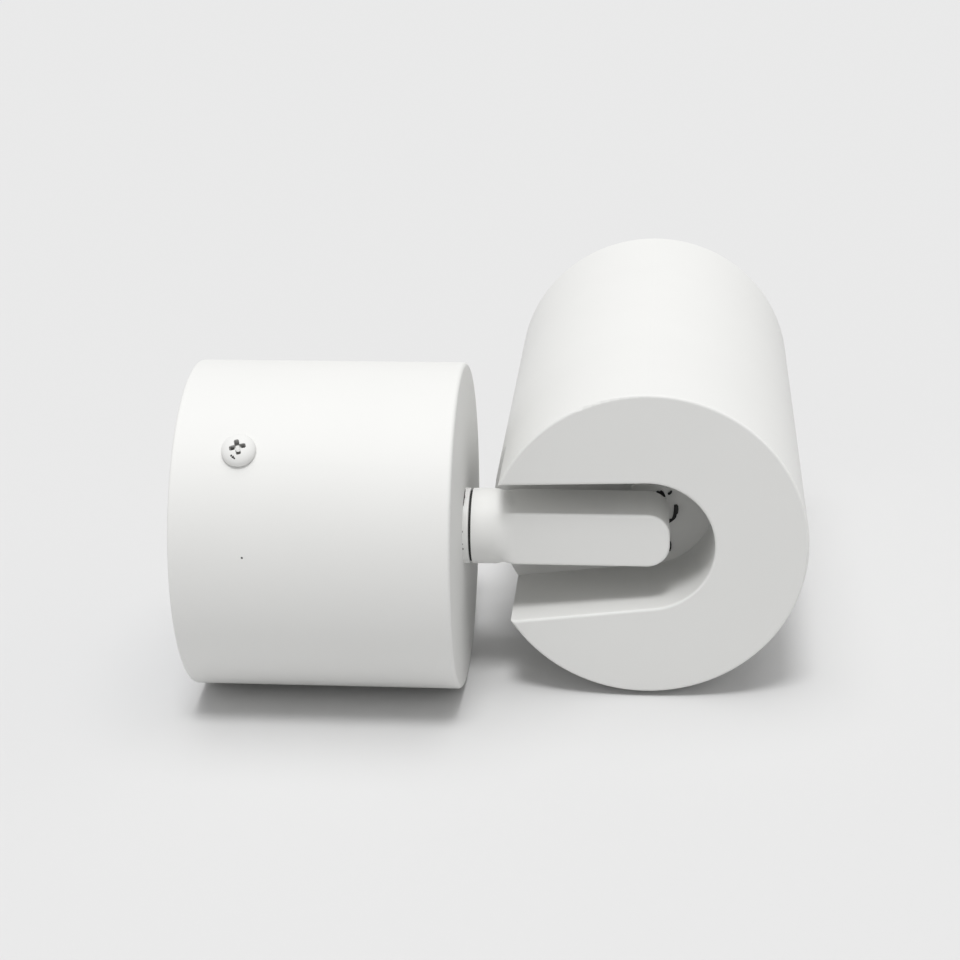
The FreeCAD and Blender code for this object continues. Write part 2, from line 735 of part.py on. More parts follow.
def make_hinge_lug():
    """Tongue in the arm's slit, its foot on the slot's floor and its threaded tail through it."""
    half_t = sleeve_way_r - turning_gap
    lug = bar_of("z", tongue_w / 2, -half_t, half_t, pivot_x, 0)
    sides = (pivot_x - tongue_w / 2, pivot_x + tongue_w / 2)
    lug = lug.fuse(block_of(sides, (0, foot_y), (-half_t, half_t)))
    foot = block_of((sides[0], pivot_x + foot_reach), (foot_y, floor_y), (-foot_height / 2, foot_height / 2))
    foot = rounded(foot, foot_corner, lambda edge: along(edge, Y_AXIS))
    tail_end = lug_nut_y + lug_nut_t + tail_past_nut
    tail = bar_of("y", tail_d / 2, floor_y, tail_end, pivot_x + tail_offset, 0)
    bore = bar_of("z", pivot_pin_d / 2 + turning_gap, -half_t - overcut, half_t + overcut, pivot_x, 0)
    return lug.fuse([foot, tail]).cut(bore).removeSplitter()


def make_head_sleeve():
    """Sleeved wires from the hinge, through the slot's floor, to the lamp holder."""
    start_x = slit_start_x + slip_gap
    end_y = holder_y + sleeve_in_holder
    points = [(start_x, 0, 0), (sleeve_side_x, 0, 0), (sleeve_side_x, end_y, 0)]
    return bent_bar(points, sleeve_d / 2, sleeve_bend)


def make_holder_bracket():
    """Flat bracket across the posts that carries the lamp holder."""
    half_l = post_spacing / 2 + bracket_margin
    half_w = bracket_w / 2
    y = (post_end_y, holder_y)
    bracket = block_of((pivot_x - half_w, pivot_x + half_w), y, (-half_l, half_l))
    bracket = rounded(bracket, bracket_corner, lambda edge: along(edge, Y_AXIS))
    around = (post_end_y - overcut, holder_y + overcut)
    for z in post_places() + holder_screw_places():
        bracket = bracket.cut(bar_of("y", m3_d / 2 + close_gap, *around, pivot_x, z))
    return bracket.cut(bar_of("y", sleeve_way_r, *around, sleeve_side_x, 0))


def make_bracket_screws():
    """Screws that hold the bracket on the posts."""
    length = bracket_t + bracket_screw_l - slip_gap
    return [pan_screw(m3_d, length, m3_head_d, m3_head_h, Vector(pivot_x, holder_y, z), Y_AXIS)
            for z in post_places()]


def holder_screw_places():
    """The Z places of the lamp holder's two screws."""
    return [-holder_screw_spacing / 2, holder_screw_spacing / 2]


def make_lamp_holder():
    """Ceramic holder with two pin holes."""
    front = holder_y + holder_h
    holder = bar_of("y", holder_d / 2, holder_y, front, pivot_x, 0)
    holder = rounded(holder, holder_round, lambda edge: on_plane(edge, "y", front))
    pin_way = (front - holder_pin_depth, front + overcut)
    for side in (-1, 1):
        x = pivot_x + side * lamp_pin_spacing / 2
        holder = holder.cut(bar_of("y", holder_pin_bore_d / 2, *pin_way, x, 0))
    for z in holder_screw_places():
        bore = bar_of("y", m3_d / 2 + thread_gap, holder_y - overcut, holder_y + holder_screw_l, pivot_x, z)
        holder = holder.cut(bore)
    wire_r = sleeve_d / 2 + thread_gap
    return holder.cut(bar_of("y", wire_r, holder_y - overcut, holder_y + sleeve_in_holder, sleeve_side_x, 0))


def make_holder_screws():
    """Screws from behind the bracket into the holder."""
    length = bracket_t + holder_screw_l - slip_gap
    return [pan_screw(m3_d, length, m3_head_d, m3_head_h, Vector(pivot_x, post_end_y, z), Y_AXIS * -1)
            for z in holder_screw_places()]


def make_lamp_body():
    """Reflector lamp's body: narrow base, cone and round rim, open at the front."""
    base_r, neck_r, rim_r = lamp_base_d / 2, lamp_neck_d / 2, lamp_d / 2
    cone_start = lamp_base_l
    cone_end = cone_start + lamp_cone_l
    board_back = lamp_length - board_from_front - board_t
    hollow_r = rim_r - lamp_wall
    outline = [
        (0, 0), (base_r, 0), (base_r, cone_start - lamp_neck_step), (neck_r, cone_start),
        (rim_r - lamp_rim_step, cone_end), (rim_r, cone_end + lamp_rim_step),
        (rim_r, lamp_length), (hollow_r, lamp_length), (hollow_r, board_back), (0, board_back),
    ]
    return revolved(outline, Vector(pivot_x, lamp_base_y, 0), Y_AXIS)


def make_lamp_pins():
    """Two headed pins of the lamp's base."""
    pins = []
    for side in (-1, 1):
        x = pivot_x + side * lamp_pin_spacing / 2
        end = lamp_base_y - lamp_pin_l
        head = bar_of("y", lamp_pin_head_d / 2, end, end + lamp_pin_head_t, x, 0)
        pins.append(head.fuse(bar_of("y", lamp_pin_d / 2, end, lamp_base_y, x, 0)).removeSplitter())
    return pins


def make_led_board():
    """Round circuit board at the back of the lamp's recess."""
    end = lamp_front_y - board_from_front
    return bar_of("y", lamp_d / 2 - lamp_wall - slip_gap, end - board_t, end, pivot_x, 0)


def make_led_chips():
    """Square light sources: one in the middle, the others on a ring."""
    y = lamp_front_y - board_from_front
    half = chip_w / 2
    chips = []
    for i in range(chip_count):
        radius = chip_ring_radius if i else 0.0
        turn = math.radians(360 * i / (chip_count - 1))
        x, z = pivot_x + radius * math.cos(turn), radius * math.sin(turn)
        chips.append(block_of((x - half, x + half), (y, y + chip_t), (z - half, z + half)))
    return chips


def make_lamp_lens():
    """Clear cover of the lamp, with a skirt that stands on the board."""
    front = lamp_front_y - lens_recess
    lens_r = lamp_d / 2 - lamp_wall - slip_gap
    lens = bar_of("y", lens_r, front - lens_t, front, pivot_x, 0)
    board_y = lamp_front_y - board_from_front
    skirt = ring_of("y", lens_r, lens_r - lens_skirt_t, board_y, front - lens_t, pivot_x, 0)
    return lens.fuse(skirt).removeSplitter()


def make_lamp_seal():
    """Soft ring between the lamp's rim and the front ring."""
    rim_r = lamp_d / 2
    return ring_of("y", rim_r, rim_r - seal_w, lamp_front_y, ring_start_y, pivot_x, 0)


def make_front_ring():
    """Screw-in ring that holds the lamp, wider towards the front."""
    outer = head_bore_r - thread_gap
    lip_r = lamp_d / 2 - ring_lip
    section = [(lip_r, 0), (outer, 0), (outer, ring_length), (lip_r + ring_flare, ring_length)]
    return revolved(section, Vector(pivot_x, ring_start_y, 0), Y_AXIS)


def washer_on_stem(diameter, start, thickness):
    """A plain washer round the swivel's stem."""
    return ring_of("x", diameter / 2, stem_d / 2 + thread_gap, start, start + thickness)


def all_parts():
    """Every named piece, each a solid or a list of like solids."""
    nut_bore = stem_d / 2 + thread_gap
    washer_y = (floor_inside_y, lug_nut_y)
    tail_x = pivot_x + tail_offset
    lug_bore = tail_d / 2 + thread_gap
    lug_nut = hex_nut(lug_nut_flats, lug_nut_t, lug_bore, Vector(tail_x, lug_nut_y, 0), Y_AXIS, turn=30)
    return {
        "base_drum": make_base_drum(),
        "ceiling_plate": make_ceiling_plate(),
        "side_screws": make_side_screws(),
        "cable_bush": make_cable_bush(),
        "terminal_block": make_terminal_block(),
        "terminal_barrels": make_terminal_barrels(),
        "terminal_screws": make_terminal_screws(),
        "block_screw": make_block_screw(),
        "earth_lug": make_earth_lug(),
        "earth_screw": make_earth_screw(),
        "live_wire": make_supply_wire(1, -1),
        "neutral_wire": make_supply_wire(2, 1),
        "earth_wire": make_earth_wire(),
        "stop_pin": make_stop_pin(),
        "collar_ring": make_collar_ring(),
        "friction_washer": washer_on_stem(friction_washer_d, ring_end_x, friction_washer_t),
        "arm": make_arm(),
        "swivel_stem": make_swivel_stem(),
        "glide_washer": washer_on_stem(glide_washer_d, glide_x, glide_washer_t),
        "stop_washer": make_stop_washer(),
        "disc_spring": make_disc_spring(),
        "stem_nut": hex_nut(stem_nut_flats, stem_nut_t, nut_bore, Vector(spring_x, 0, 0), X_AXIS * -1),
        "lock_nut": hex_nut(stem_nut_flats, lock_nut_t, nut_bore, Vector(stem_nut_x, 0, 0), X_AXIS * -1),
        "pivot_pin": make_pivot_pin(),
        "arm_sleeve": make_arm_sleeve(),
        "head_housing": make_head_housing(),
        "hinge_lug": make_hinge_lug(),
        "lug_washer": ring_of("y", lug_washer_d / 2, lug_bore, *washer_y, tail_x, 0),
        "lug_nut": lug_nut,
        "head_sleeve": make_head_sleeve(),
        "holder_bracket": make_holder_bracket(),
        "bracket_screws": make_bracket_screws(),
        "lamp_holder": make_lamp_holder(),
        "holder_screws": make_holder_screws(),
        "lamp_body": make_lamp_body(),
        "lamp_pins": make_lamp_pins(),
        "led_board": make_led_board(),
        "led_chips": make_led_chips(),
        "lamp_lens": make_lamp_lens(),
        "lamp_seal": make_lamp_seal(),
        "front_ring": make_front_ring(),
    }


def main():
    """Builds every piece and writes one file for each name."""
    os.makedirs("parts", exist_ok=True)
    for name, made in all_parts().items():
        solids = [solid for shape in (made if isinstance(made, list) else [made]) for solid in shape.Solids]
        shape = solids[0] if len(solids) == 1 else Part.makeCompound(solids)
        shape.exportStep(f"parts/{name}.step")
        print(name, len(solids), "solid" if len(solids) == 1 else "solids", round(shape.Volume, 1), "mm3")


main()
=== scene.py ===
"""The looks of a surface mounted ceiling spotlight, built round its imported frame.

A drum that screws to the ceiling carries a short swivelling arm, and the arm carries a lamp head that
folds on it through a U-slot. Sizes are millimetres, and meshes are metres in the frame of the part.
"""
import json
import logging
import math
from collections.abc import Sequence
from dataclasses import dataclass, field, replace
from enum import Enum

import bmesh
import bpy
from bmesh.types import BMesh, BMFace, BMVert
from bpy.types import Material, Mesh, Node, NodeSocket, NodeTree, Object
from mathutils import Matrix, Vector

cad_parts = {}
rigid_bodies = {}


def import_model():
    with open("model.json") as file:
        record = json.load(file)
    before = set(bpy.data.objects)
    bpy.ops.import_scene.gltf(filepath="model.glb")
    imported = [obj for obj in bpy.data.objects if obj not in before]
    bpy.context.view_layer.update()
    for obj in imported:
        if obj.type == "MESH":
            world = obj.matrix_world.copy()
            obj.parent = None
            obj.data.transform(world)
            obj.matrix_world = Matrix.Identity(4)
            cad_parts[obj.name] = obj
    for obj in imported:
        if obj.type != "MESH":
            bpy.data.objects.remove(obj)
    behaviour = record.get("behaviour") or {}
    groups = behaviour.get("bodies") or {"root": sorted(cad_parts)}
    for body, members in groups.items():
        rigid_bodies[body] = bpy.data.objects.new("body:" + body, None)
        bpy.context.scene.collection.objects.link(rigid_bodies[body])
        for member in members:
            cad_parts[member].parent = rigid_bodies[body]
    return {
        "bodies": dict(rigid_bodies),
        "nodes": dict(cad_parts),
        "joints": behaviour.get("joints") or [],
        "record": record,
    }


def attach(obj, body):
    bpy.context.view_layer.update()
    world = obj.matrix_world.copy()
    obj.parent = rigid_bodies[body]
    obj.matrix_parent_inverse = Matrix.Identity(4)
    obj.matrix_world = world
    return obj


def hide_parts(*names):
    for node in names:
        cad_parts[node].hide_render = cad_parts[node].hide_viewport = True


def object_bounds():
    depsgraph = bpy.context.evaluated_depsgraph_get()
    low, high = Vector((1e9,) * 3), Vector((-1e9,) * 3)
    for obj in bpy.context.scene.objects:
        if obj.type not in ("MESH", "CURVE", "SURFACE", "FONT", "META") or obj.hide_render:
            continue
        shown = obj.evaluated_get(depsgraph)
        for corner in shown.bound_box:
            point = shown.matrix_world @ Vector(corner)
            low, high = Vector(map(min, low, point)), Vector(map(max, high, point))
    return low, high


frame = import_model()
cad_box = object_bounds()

MM = 0.001
# The frame's axes: away from the ceiling, along the beam, and up.
AHEAD, BESIDE, UP = (1, 0, 0), (0, 1, 0), (0, 0, 1)
LOG = logging.getLogger("spotlight")


class Body(Enum):
    """The bodies that move against each other."""

    BASE = "base"
    ARM = "arm"
    HEAD = "head"


class Recess(Enum):
    """What a driver turns a screw by."""

    CROSS = 2
    SLOT = 1


# --- Colours and material nodes -------------------------------------------------------------------


def linear(colour: str) -> tuple[float, float, float, float]:
    """Turns an sRGB hex colour into the linear one that shaders take.

    Args:
        colour: six hex digits after a hash sign.

    Returns:
        Red, green, blue and an alpha of 1.
    """
    parts = [int(colour[i : i + 2], 16) / 255 for i in (1, 3, 5)]
    red, green, blue = (c / 12.92 if c <= 0.04045 else ((c + 0.055) / 1.055) ** 2.4 for c in parts)
    return red, green, blue, 1.0


def add_node(tree: NodeTree, kind: str, inputs: dict | None = None, **settings) -> Node:
    """Adds a node, with its settings, values and links.

    Args:
        tree: the node tree that gets it.
        kind: the node's type.
        inputs: for a socket's identifier, name or number, a value, or what to link from: an output socket,
            or a node for its first one.
        settings: the node's own properties.

    Returns:
        The new node.
    """
    node = tree.nodes.new(kind)
    for name, value in settings.items():
        setattr(node, name, value)
    for key, value in (inputs or {}).items():
        socket = next((s for s in node.inputs if s.identifier == key), None) or node.inputs[key]
        if isinstance(value, Node):
            value = value.outputs[0]
        if isinstance(value, NodeSocket):
            tree.links.new(value, socket)
        else:
            socket.default_value = value
    return node


@dataclass(frozen=True)
class Finish:
    """A surface finish. Each kind of finish adds its own pattern in dress()."""

    name: str
    colour: str
    tone: str  # the second tone that the colour drifts to
    roughness: float
    metallic: float = 0.0
    tone_mm: float = 12.0  # size of a patch of the second tone
    grain_mm: float = 0.8  # size of the surface's bumps
    grain_depth_mm: float = 0.004
    gloss_spread: float = 0.06
    gloss_mm: float = 0.5  # size of a spot that is duller or shinier than the rest

    def material(self) -> Material:
        """Gives the finish's material, made when it is first asked for."""
        return bpy.data.materials.get(self.name) or self.build()

    def build(self) -> Material:
        """Makes the material from its base pattern and the kind's own.

        Returns:
            The new material.
        """
        material = bpy.data.materials.new(self.name)
        material.use_nodes = True
        tree = material.node_tree
        tree.nodes.clear()
        place = add_node(tree, "ShaderNodeTexCoord").outputs["Object"]
        shader = add_node(tree, "ShaderNodeBsdfPrincipled", {"Metallic": self.metallic})
        add_node(tree, "ShaderNodeOutputMaterial", {"Surface": shader.outputs[0]})
        self.drift(tree, shader, place)
        self.surface(tree, shader, place)
        self.dress(tree, shader, place)
        return material

    def drift(self, tree: NodeTree, shader: Node, place: NodeSocket) -> None:
        """Lets the colour drift between its two tones, in patches of tone_mm."""
        noise = add_node(tree, "ShaderNodeTexNoise", {"Vector": place, "Scale": 1 / (self.tone_mm * MM)})
        self.blend(tree, shader, noise, self.colour, self.tone)

    def surface(self, tree: NodeTree, shader: Node, place: NodeSocket) -> None:
        """Raises fine bumps in the size of grain_mm, and makes the gloss uneven in spots of gloss_mm."""
        size = {"Vector": place, "Scale": 1 / (self.grain_mm * MM), "Detail": 3.0}
        self.relief(tree, shader, add_node(tree, "ShaderNodeTexNoise", size), self.grain_depth_mm)
        speck = add_node(tree, "ShaderNodeTexNoise", {"Vector": place, "Scale": 1 / (self.gloss_mm * MM)})
        limits = {"To Min": self.roughness - self.gloss_spread, "To Max": self.roughness + self.gloss_spread}
        gloss = add_node(tree, "ShaderNodeMapRange", {"Value": speck, **limits})
        tree.links.new(gloss.outputs[0], shader.inputs["Roughness"])

    def relief(self, tree: NodeTree, shader: Node, height: Node, depth_mm: float) -> None:
        """Gives the shader bumps of a depth in millimetres, from a height of 0 to 1."""
        bump = add_node(tree, "ShaderNodeBump", {"Height": height, "Distance": depth_mm * MM})
        tree.links.new(bump.outputs[0], shader.inputs["Normal"])

    def blend(self, tree: NodeTree, shader: Node, share: Node, first: str, second: str | None = None) -> None:
        """Gives the shader a mix of two colours.

        Args:
            tree: the material's nodes.
            shader: what shows the colour.
            share: the share of the second colour, from 0 to 1.
            first: a hex colour.
            second: a hex colour, or None for the colour that the shader has so far.
        """
        base = shader.inputs["Base Color"]
        rest = linear(second) if second else base.links[0].from_socket
        sides = {"Factor_Float": share, "A_Color": linear(first), "B_Color": rest}
        node = add_node(tree, "ShaderNodeMix", sides, data_type="RGBA")
        tree.links.new(next(s for s in node.outputs if s.identifier == "Result_Color"), base)

    def dress(self, tree: NodeTree, shader: Node, place: NodeSocket) -> None:
        """Adds the kind's own pattern. A plain finish has none."""


@dataclass(frozen=True)
class ChipAndShade:
    """A box in which the coat shows dark: chipped through to the dark undercoat on the drum and the screws,
    and painted shade of the gap in the collar's seam. Sizes are in millimetres.
    """

    middle: tuple[float, float, float]
    size: tuple[float, float, float]  # of the box in which the coat may be missing
    cover: float = 0.5  # share of that box where the white coat still shows


@dataclass(frozen=True)
class PowderCoat(Finish):
    """Polyester powder, sprayed and baked on aluminium: a soft sheen with a faint orange peel."""

    # the dark colour of the marks: the undercoat where the coat is chipped, painted shade in the collar's seam
    primer_and_shade: str = "#161413"
    ragged_mm: float = 0.9  # size of the ragged flakes, and of the ragged edge of painted shade
    chips: tuple[ChipAndShade, ...] = ()

    def dress(self, tree: NodeTree, shader: Node, place: NodeSocket) -> None:
        """Shows the dark undercoat where flakes of the coat are missing, and painted shade where a mark stands
        for shade, with ragged edges.
        """
        for chip in self.chips:
            middle, half = Vector(chip.middle) * MM, Vector(chip.size) * MM / 2
            away = add_node(tree, "ShaderNodeVectorMath", {0: place, 1: middle}, operation="SUBTRACT")
            share = add_node(tree, "ShaderNodeVectorMath", {0: away, 1: half}, operation="DIVIDE")
            reach = add_node(tree, "ShaderNodeVectorMath", {0: share}, operation="LENGTH").outputs["Value"]
            ragged = {"Vector": place, "Scale": 1 / (self.ragged_mm * MM), "Detail": 4.0}
            ragged_noise = add_node(tree, "ShaderNodeTexNoise", ragged)
            inside = add_node(tree, "ShaderNodeMath", {0: reach, 1: ragged_noise}, operation="ADD")
            edge, soft = 1.5 - chip.cover, 0.08
            limits = {"Value": inside, "From Min": edge - soft, "From Max": edge + soft}
            # the undercoat under a chip; painted shade where the mark stands for the collar's seam
            self.blend(tree, shader, add_node(tree, "ShaderNodeMapRange", limits), self.primer_and_shade)


@dataclass(frozen=True)
class Plated(Finish):
    """A bright plated metal: cool spangles and the fine lines of rolled or drawn stock."""

    spangle_mm: float = 1.4
    line_mm: float = 0.12  # drawn coarser than real drawing lines, which are too fine to show
    line_depth_mm: float = 0.002
    line_squeeze: float = 0.04  # a line's width over its length, which runs along X

    def dress(self, tree: NodeTree, shader: Node, place: NodeSocket) -> None:
        """Adds the spangles to the colour and the stock's lines to the bumps."""
        cell = {"Vector": place, "Scale": 1 / (self.spangle_mm * MM)}
        spangle = add_node(tree, "ShaderNodeTexVoronoi", cell).outputs["Color"]
        tint = add_node(tree, "ShaderNodeRGBToBW", {"Color": spangle})
        self.blend(tree, shader, tint, self.colour, self.tone)
        squeezed = add_node(tree, "ShaderNodeMapping", {"Vector": place, "Scale": (self.line_squeeze, 1, 1)})
        line = add_node(tree, "ShaderNodeTexNoise", {"Vector": squeezed, "Scale": 1 / (self.line_mm * MM)})
        self.relief(tree, shader, line, self.line_depth_mm)


@dataclass(frozen=True)
class Insulation(Finish):
    """Extruded soft plastic on a wire: satin, with an optional pair of stripes along it."""

    stripe: str | None = None
    stripe_share: float = 0.35  # of the way round

    def dress(self, tree: NodeTree, shader: Node, place: NodeSocket) -> None:
        """Draws the stripes by the wire's own UV, whose U runs once round it."""
        if self.stripe is None:
            return
        around = add_node(tree, "ShaderNodeTexCoord").outputs["UV"]
        turn = add_node(tree, "ShaderNodeSeparateXYZ", {0: around})
        wave = add_node(tree, "ShaderNodeMath", {0: turn, 1: 0.5}, operation="PINGPONG")
        centred = add_node(tree, "ShaderNodeMath", {0: wave, 1: 0.25}, operation="SUBTRACT")
        near = add_node(tree, "ShaderNodeMath", {0: centred}, operation="ABSOLUTE")
        edge = self.stripe_share / 4
        band = {"Value": near, "From Min": edge - 0.01, "From Max": edge + 0.01}
        self.blend(tree, shader, add_node(tree, "ShaderNodeMapRange", band), self.stripe)


@dataclass(frozen=True)
class Braid(Finish):
    """A sleeve braided of dark glass yarn: two sets of flat strands that cross, with a painted glint on their
    tops and painted shade between them.
    """

    strands: int = 12
    pitch_mm: float = 2.4  # length in which a strand goes once round a twelfth
    strand_depth_mm: float = 0.12

    def dress(self, tree: NodeTree, shader: Node, place: NodeSocket) -> None:
        """Crosses two sets of waves on the sleeve's UV, U once round and V in millimetres along, and paints
        the strands' tops lighter and the gaps darker.
        """
        around = add_node(tree, "ShaderNodeTexCoord").outputs["UV"]
        split = add_node(tree, "ShaderNodeSeparateXYZ", {0: around}).outputs
        round_it, along_it = math.tau * self.strands / 2, math.tau / self.pitch_mm
        turns = add_node(tree, "ShaderNodeMath", {0: split["X"], 1: round_it}, operation="MULTIPLY")
        along = add_node(tree, "ShaderNodeMath", {0: split["Y"], 1: along_it}, operation="MULTIPLY")
        waves = []
        for way in ("ADD", "SUBTRACT"):
            phase = add_node(tree, "ShaderNodeMath", {0: turns, 1: along}, operation=way)
            waves.append(add_node(tree, "ShaderNodeMath", {0: phase}, operation="SINE"))
        top = add_node(tree, "ShaderNodeMath", dict(enumerate(waves)), operation="MAXIMUM")
        height = add_node(tree, "ShaderNodeMapRange", {"Value": top, "From Min": -1.0})
        # painted glint and shade: lighter on the strands' tops, darker in the gaps between them
        self.blend(tree, shader, height, self.tone, self.colour)
        self.relief(tree, shader, height, self.strand_depth_mm)


@dataclass(frozen=True)
class SolderMask(Finish):
    """White solder mask on an aluminium board: the copper tracks under it stand up as faint rings."""

    middle: tuple[float, float, float] = (79.8, 75.7, 0.0)
    ring_mm: float = 3.2  # from one ring track to the next
    track_depth_mm: float = 0.04

    def dress(self, tree: NodeTree, shader: Node, place: NodeSocket) -> None:
        """Raises ring tracks round the board's middle and tints the laminate between them."""
        middle, turn = Vector(self.middle) * MM, math.tau / (self.ring_mm * MM)
        away = add_node(tree, "ShaderNodeVectorMath", {0: place, 1: middle}, operation="SUBTRACT")
        radius = add_node(tree, "ShaderNodeVectorMath", {0: away}, operation="LENGTH").outputs["Value"]
        rings = add_node(tree, "ShaderNodeMath", {0: radius, 1: turn}, operation="MULTIPLY")
        wave = add_node(tree, "ShaderNodeMath", {0: rings}, operation="SINE")
        height = add_node(tree, "ShaderNodeMapRange", {"Value": wave, "From Min": 0.1, "From Max": 0.35})
        self.blend(tree, shader, height, self.tone, self.colour)
        self.relief(tree, shader, height, self.track_depth_mm)


@dataclass(frozen=True)
class ClearMoulding(Finish):
    """Clear polycarbonate from a polished mould: the light sources show through it, with sharp highlights."""

    ior: float = 1.585

    def dress(self, tree: NodeTree, shader: Node, place: NodeSocket) -> None:
        """Lets the light through."""
        shader.inputs["Transmission Weight"].default_value = 1.0
        shader.inputs["IOR"].default_value = self.ior


# A matt white coat with a soft sheen and a faint orange peel.
POWDER = PowderCoat("white_polyester_powder_coat", "#E6E6E4", "#E3E3E1", 0.6, tone_mm=18, grain_mm=1.1)
# The same coat low on the drum, where a flake is missing and the dark primer shows as a speck.
DRUM_POWDER = replace(
    POWDER, name="chipped_powder_coat_of_the_drum", chips=(ChipAndShade((12.7, -28.5, 5.5), (0.7, 1.2, 0.7)),)
)
# The same coat where a driver slipped beside the recess: small flakes that run together into a scratch.
SCREW_POWDER = replace(
    POWDER, name="scratched_powder_coat_of_the_screws", ragged_mm=0.3,
    chips=(
        ChipAndShade((10.6, -21.93, 21.2), (0.74, 0.74, 0.74)),
        ChipAndShade((10.88, -22.07, 21.04), (0.8, 0.8, 0.8)),
        ChipAndShade((11.14, -22.2, 20.85), (0.7, 0.7, 0.7)),
    ),
)
# The white rubbed seam of the collar: painted shade of the gap to the drum runs along the joint, in a broken
# line.
COLLAR_POWDER = PowderCoat(
    "white_powder_coat_of_the_collar_with_painted_seam_shade", "#E9E9E7", "#E3E3E1", 0.42, tone_mm=9, grain_mm=0.9, primer_and_shade="#4A4748",
    chips=(
        ChipAndShade((47.5, -2.1, 6.1), (0.6, 8.2, 3.4), 0.3),
        ChipAndShade((47.5, -6.5, 1.5), (0.4, 1.2, 0.6), 0.3),
        ChipAndShade((47.5, -6.6, -0.8), (0.4, 1.2, 0.4), 0.3),
        ChipAndShade((47.5, -6.4, -1.8), (0.5, 1.4, 0.7), 0.3),
    ),
)
# Bright zinc on pressed or turned steel: cool grey, a little cloudy, with soft reflections.
ZINC = Plated("zinc_plated_steel", "#C9CBCD", "#B4B8BE", 0.3, 1.0, tone_mm=2.5, grain_mm=0.5)
# A driver has worn the coat out of the recess, down to dull steel.
WORN_STEEL = Plated(
    "worn_steel_in_the_screw_recess", "#A6A6A4", "#7E7D7B", 0.5, 0.25, tone_mm=0.5, spangle_mm=0.3
)
# Black rubber: deep, nearly without gloss, with the fine grain of the mould.
RUBBER = Finish(
    "moulded_black_rubber", "#151515", "#202020", 0.66, tone_mm=1.6, grain_mm=0.35, grain_depth_mm=0.02
)
# Unpainted nylon: milky and slightly waxy.
NYLON = Finish(
    "moulded_natural_nylon", "#E4E0D6", "#DAD6CA", 0.5, tone_mm=5, grain_mm=0.6, grain_depth_mm=0.01
)
# Brass from the lathe: warm and bright, with turning lines.
BRASS = Plated(
    "turned_brass", "#D8B56A", "#C9A354", 0.28, 1.0, spangle_mm=2.5, line_mm=0.15, line_depth_mm=0.004
)
# Tin on copper: whiter and softer than zinc.
TINNED = Plated("tinned_copper", "#C8C6BF", "#B7B4AC", 0.35, 1.0, spangle_mm=0.8)
# Nickel on brass: slightly yellow and bright.
NICKEL = Plated("nickel_plated_brass", "#C9C3B4", "#BEB7A6", 0.25, 1.0, spangle_mm=1.8)
# Soft extruded plastic: satin, even colour.
BROWN = Insulation("brown_pvc_insulation", "#5A3018", "#4E2913", 0.42, tone_mm=6, grain_mm=0.4)
BLUE = replace(BROWN, name="blue_pvc_insulation", colour="#2C66B4", tone="#275CA6")
GREEN = replace(
    BROWN, name="green_and_yellow_pvc_insulation", colour="#3E8C34", tone="#37802E", stripe="#E2C92C"
)
# Black braid of glass yarn: dark, with a painted glint where the strands cross and painted shade between them.
BRAID = Braid("braided_black_glass_sleeve", "#2A2A2A", "#0C0C0C", 0.6)
# Pressed and fired steatite: warm white, dry, with a fine speckle.
STEATITE = Finish(
    "pressed_steatite", "#DDD6C8", "#CFC7B6", 0.66, tone_mm=0.9, grain_mm=0.3, grain_depth_mm=0.03
)
# Painted cast aluminium of the lamp: white, slightly rough from the mould.
SHELL = PowderCoat(
    "painted_cast_aluminium", "#DCDCDA", "#D5D5D3", 0.4, tone_mm=8, grain_mm=0.7, grain_depth_mm=0.015
)
# Solder mask over etched copper: white, with faint raised tracks that catch the light.
MASK = SolderMask("white_solder_mask", "#E9EAE7", "#D9DAD2", 0.35)
# Silicone filled with phosphor: opaque egg yellow with a soft gloss.
PHOSPHOR = Finish(
    "phosphor_silicone", "#E6B93A", "#D9A92A", 0.3, tone_mm=0.6, grain_mm=0.1, grain_depth_mm=0.003
)
# Fired white ceramic round a light source: dense and slightly shiny.
CHIP_FRAME = Finish("white_ceramic_chip_frame", "#EDEDEA", "#E4E4DF", 0.35, tone_mm=0.8, grain_mm=0.2)
# Milky silicone rubber: soft and without gloss.
SILICONE = Finish(
    "white_silicone_rubber", "#DEDEDA", "#D5D5D0", 0.55, tone_mm=4, grain_mm=0.5, grain_depth_mm=0.01
)
# Clear plastic from a polished mould: water clear, with crisp reflections.
CLEAR = ClearMoulding(
    "clear_moulded_polycarbonate", "#FBFCFC", "#F6F8F8", 0.06,
    grain_mm=3.0, grain_depth_mm=0.002, gloss_spread=0.03,
)


# --- Meshes ---------------------------------------------------------------------------------------


def skinned(mesh: BMesh, rings: Sequence[Sequence[BMVert]], capped: bool = False) -> list[BMFace]:
    """Covers rings of vertices with faces that point outwards.

    Args:
        mesh: the mesh of the rings.
        rings: as many vertices in each, or one where the form closes at a pole.
        capped: whether a face closes the first and the last ring.

    Returns:
        The faces, ring by ring, and then the caps.
    """
    faces = []
    for low, high in zip(rings, rings[1:]):
        sides = max(len(low), len(high))
        for i in range(sides):
            j = (i + 1) % sides
            corners = [low[i % len(low)], low[j % len(low)], high[j % len(high)], high[i % len(high)]]
            faces.append(mesh.faces.new(dict.fromkeys(corners)))
    if capped:
        faces += [mesh.faces.new(reversed(rings[0])), mesh.faces.new(rings[-1])]
    bmesh.ops.recalc_face_normals(mesh, faces=mesh.faces)
    return faces


def turned(profile: Sequence[tuple[float, float]], sides: int = 96) -> BMesh:
    """Turns an outline round the local Z axis.

    Args:
        profile: pairs of radius and height in millimetres, from a radius of 0 to a radius of 0.
        sides: how many faces there are round it.

    Returns:
        The closed mesh, in millimetres.
    """
    mesh = bmesh.new()
    rings = []
    for radius, height in profile:
        turns = (math.tau * i / sides for i in range(sides)) if radius else (0.0,)
        rings.append([mesh.verts.new((radius * math.cos(a), radius * math.sin(a), height)) for a in turns])
    skinned(mesh, rings)
    return mesh


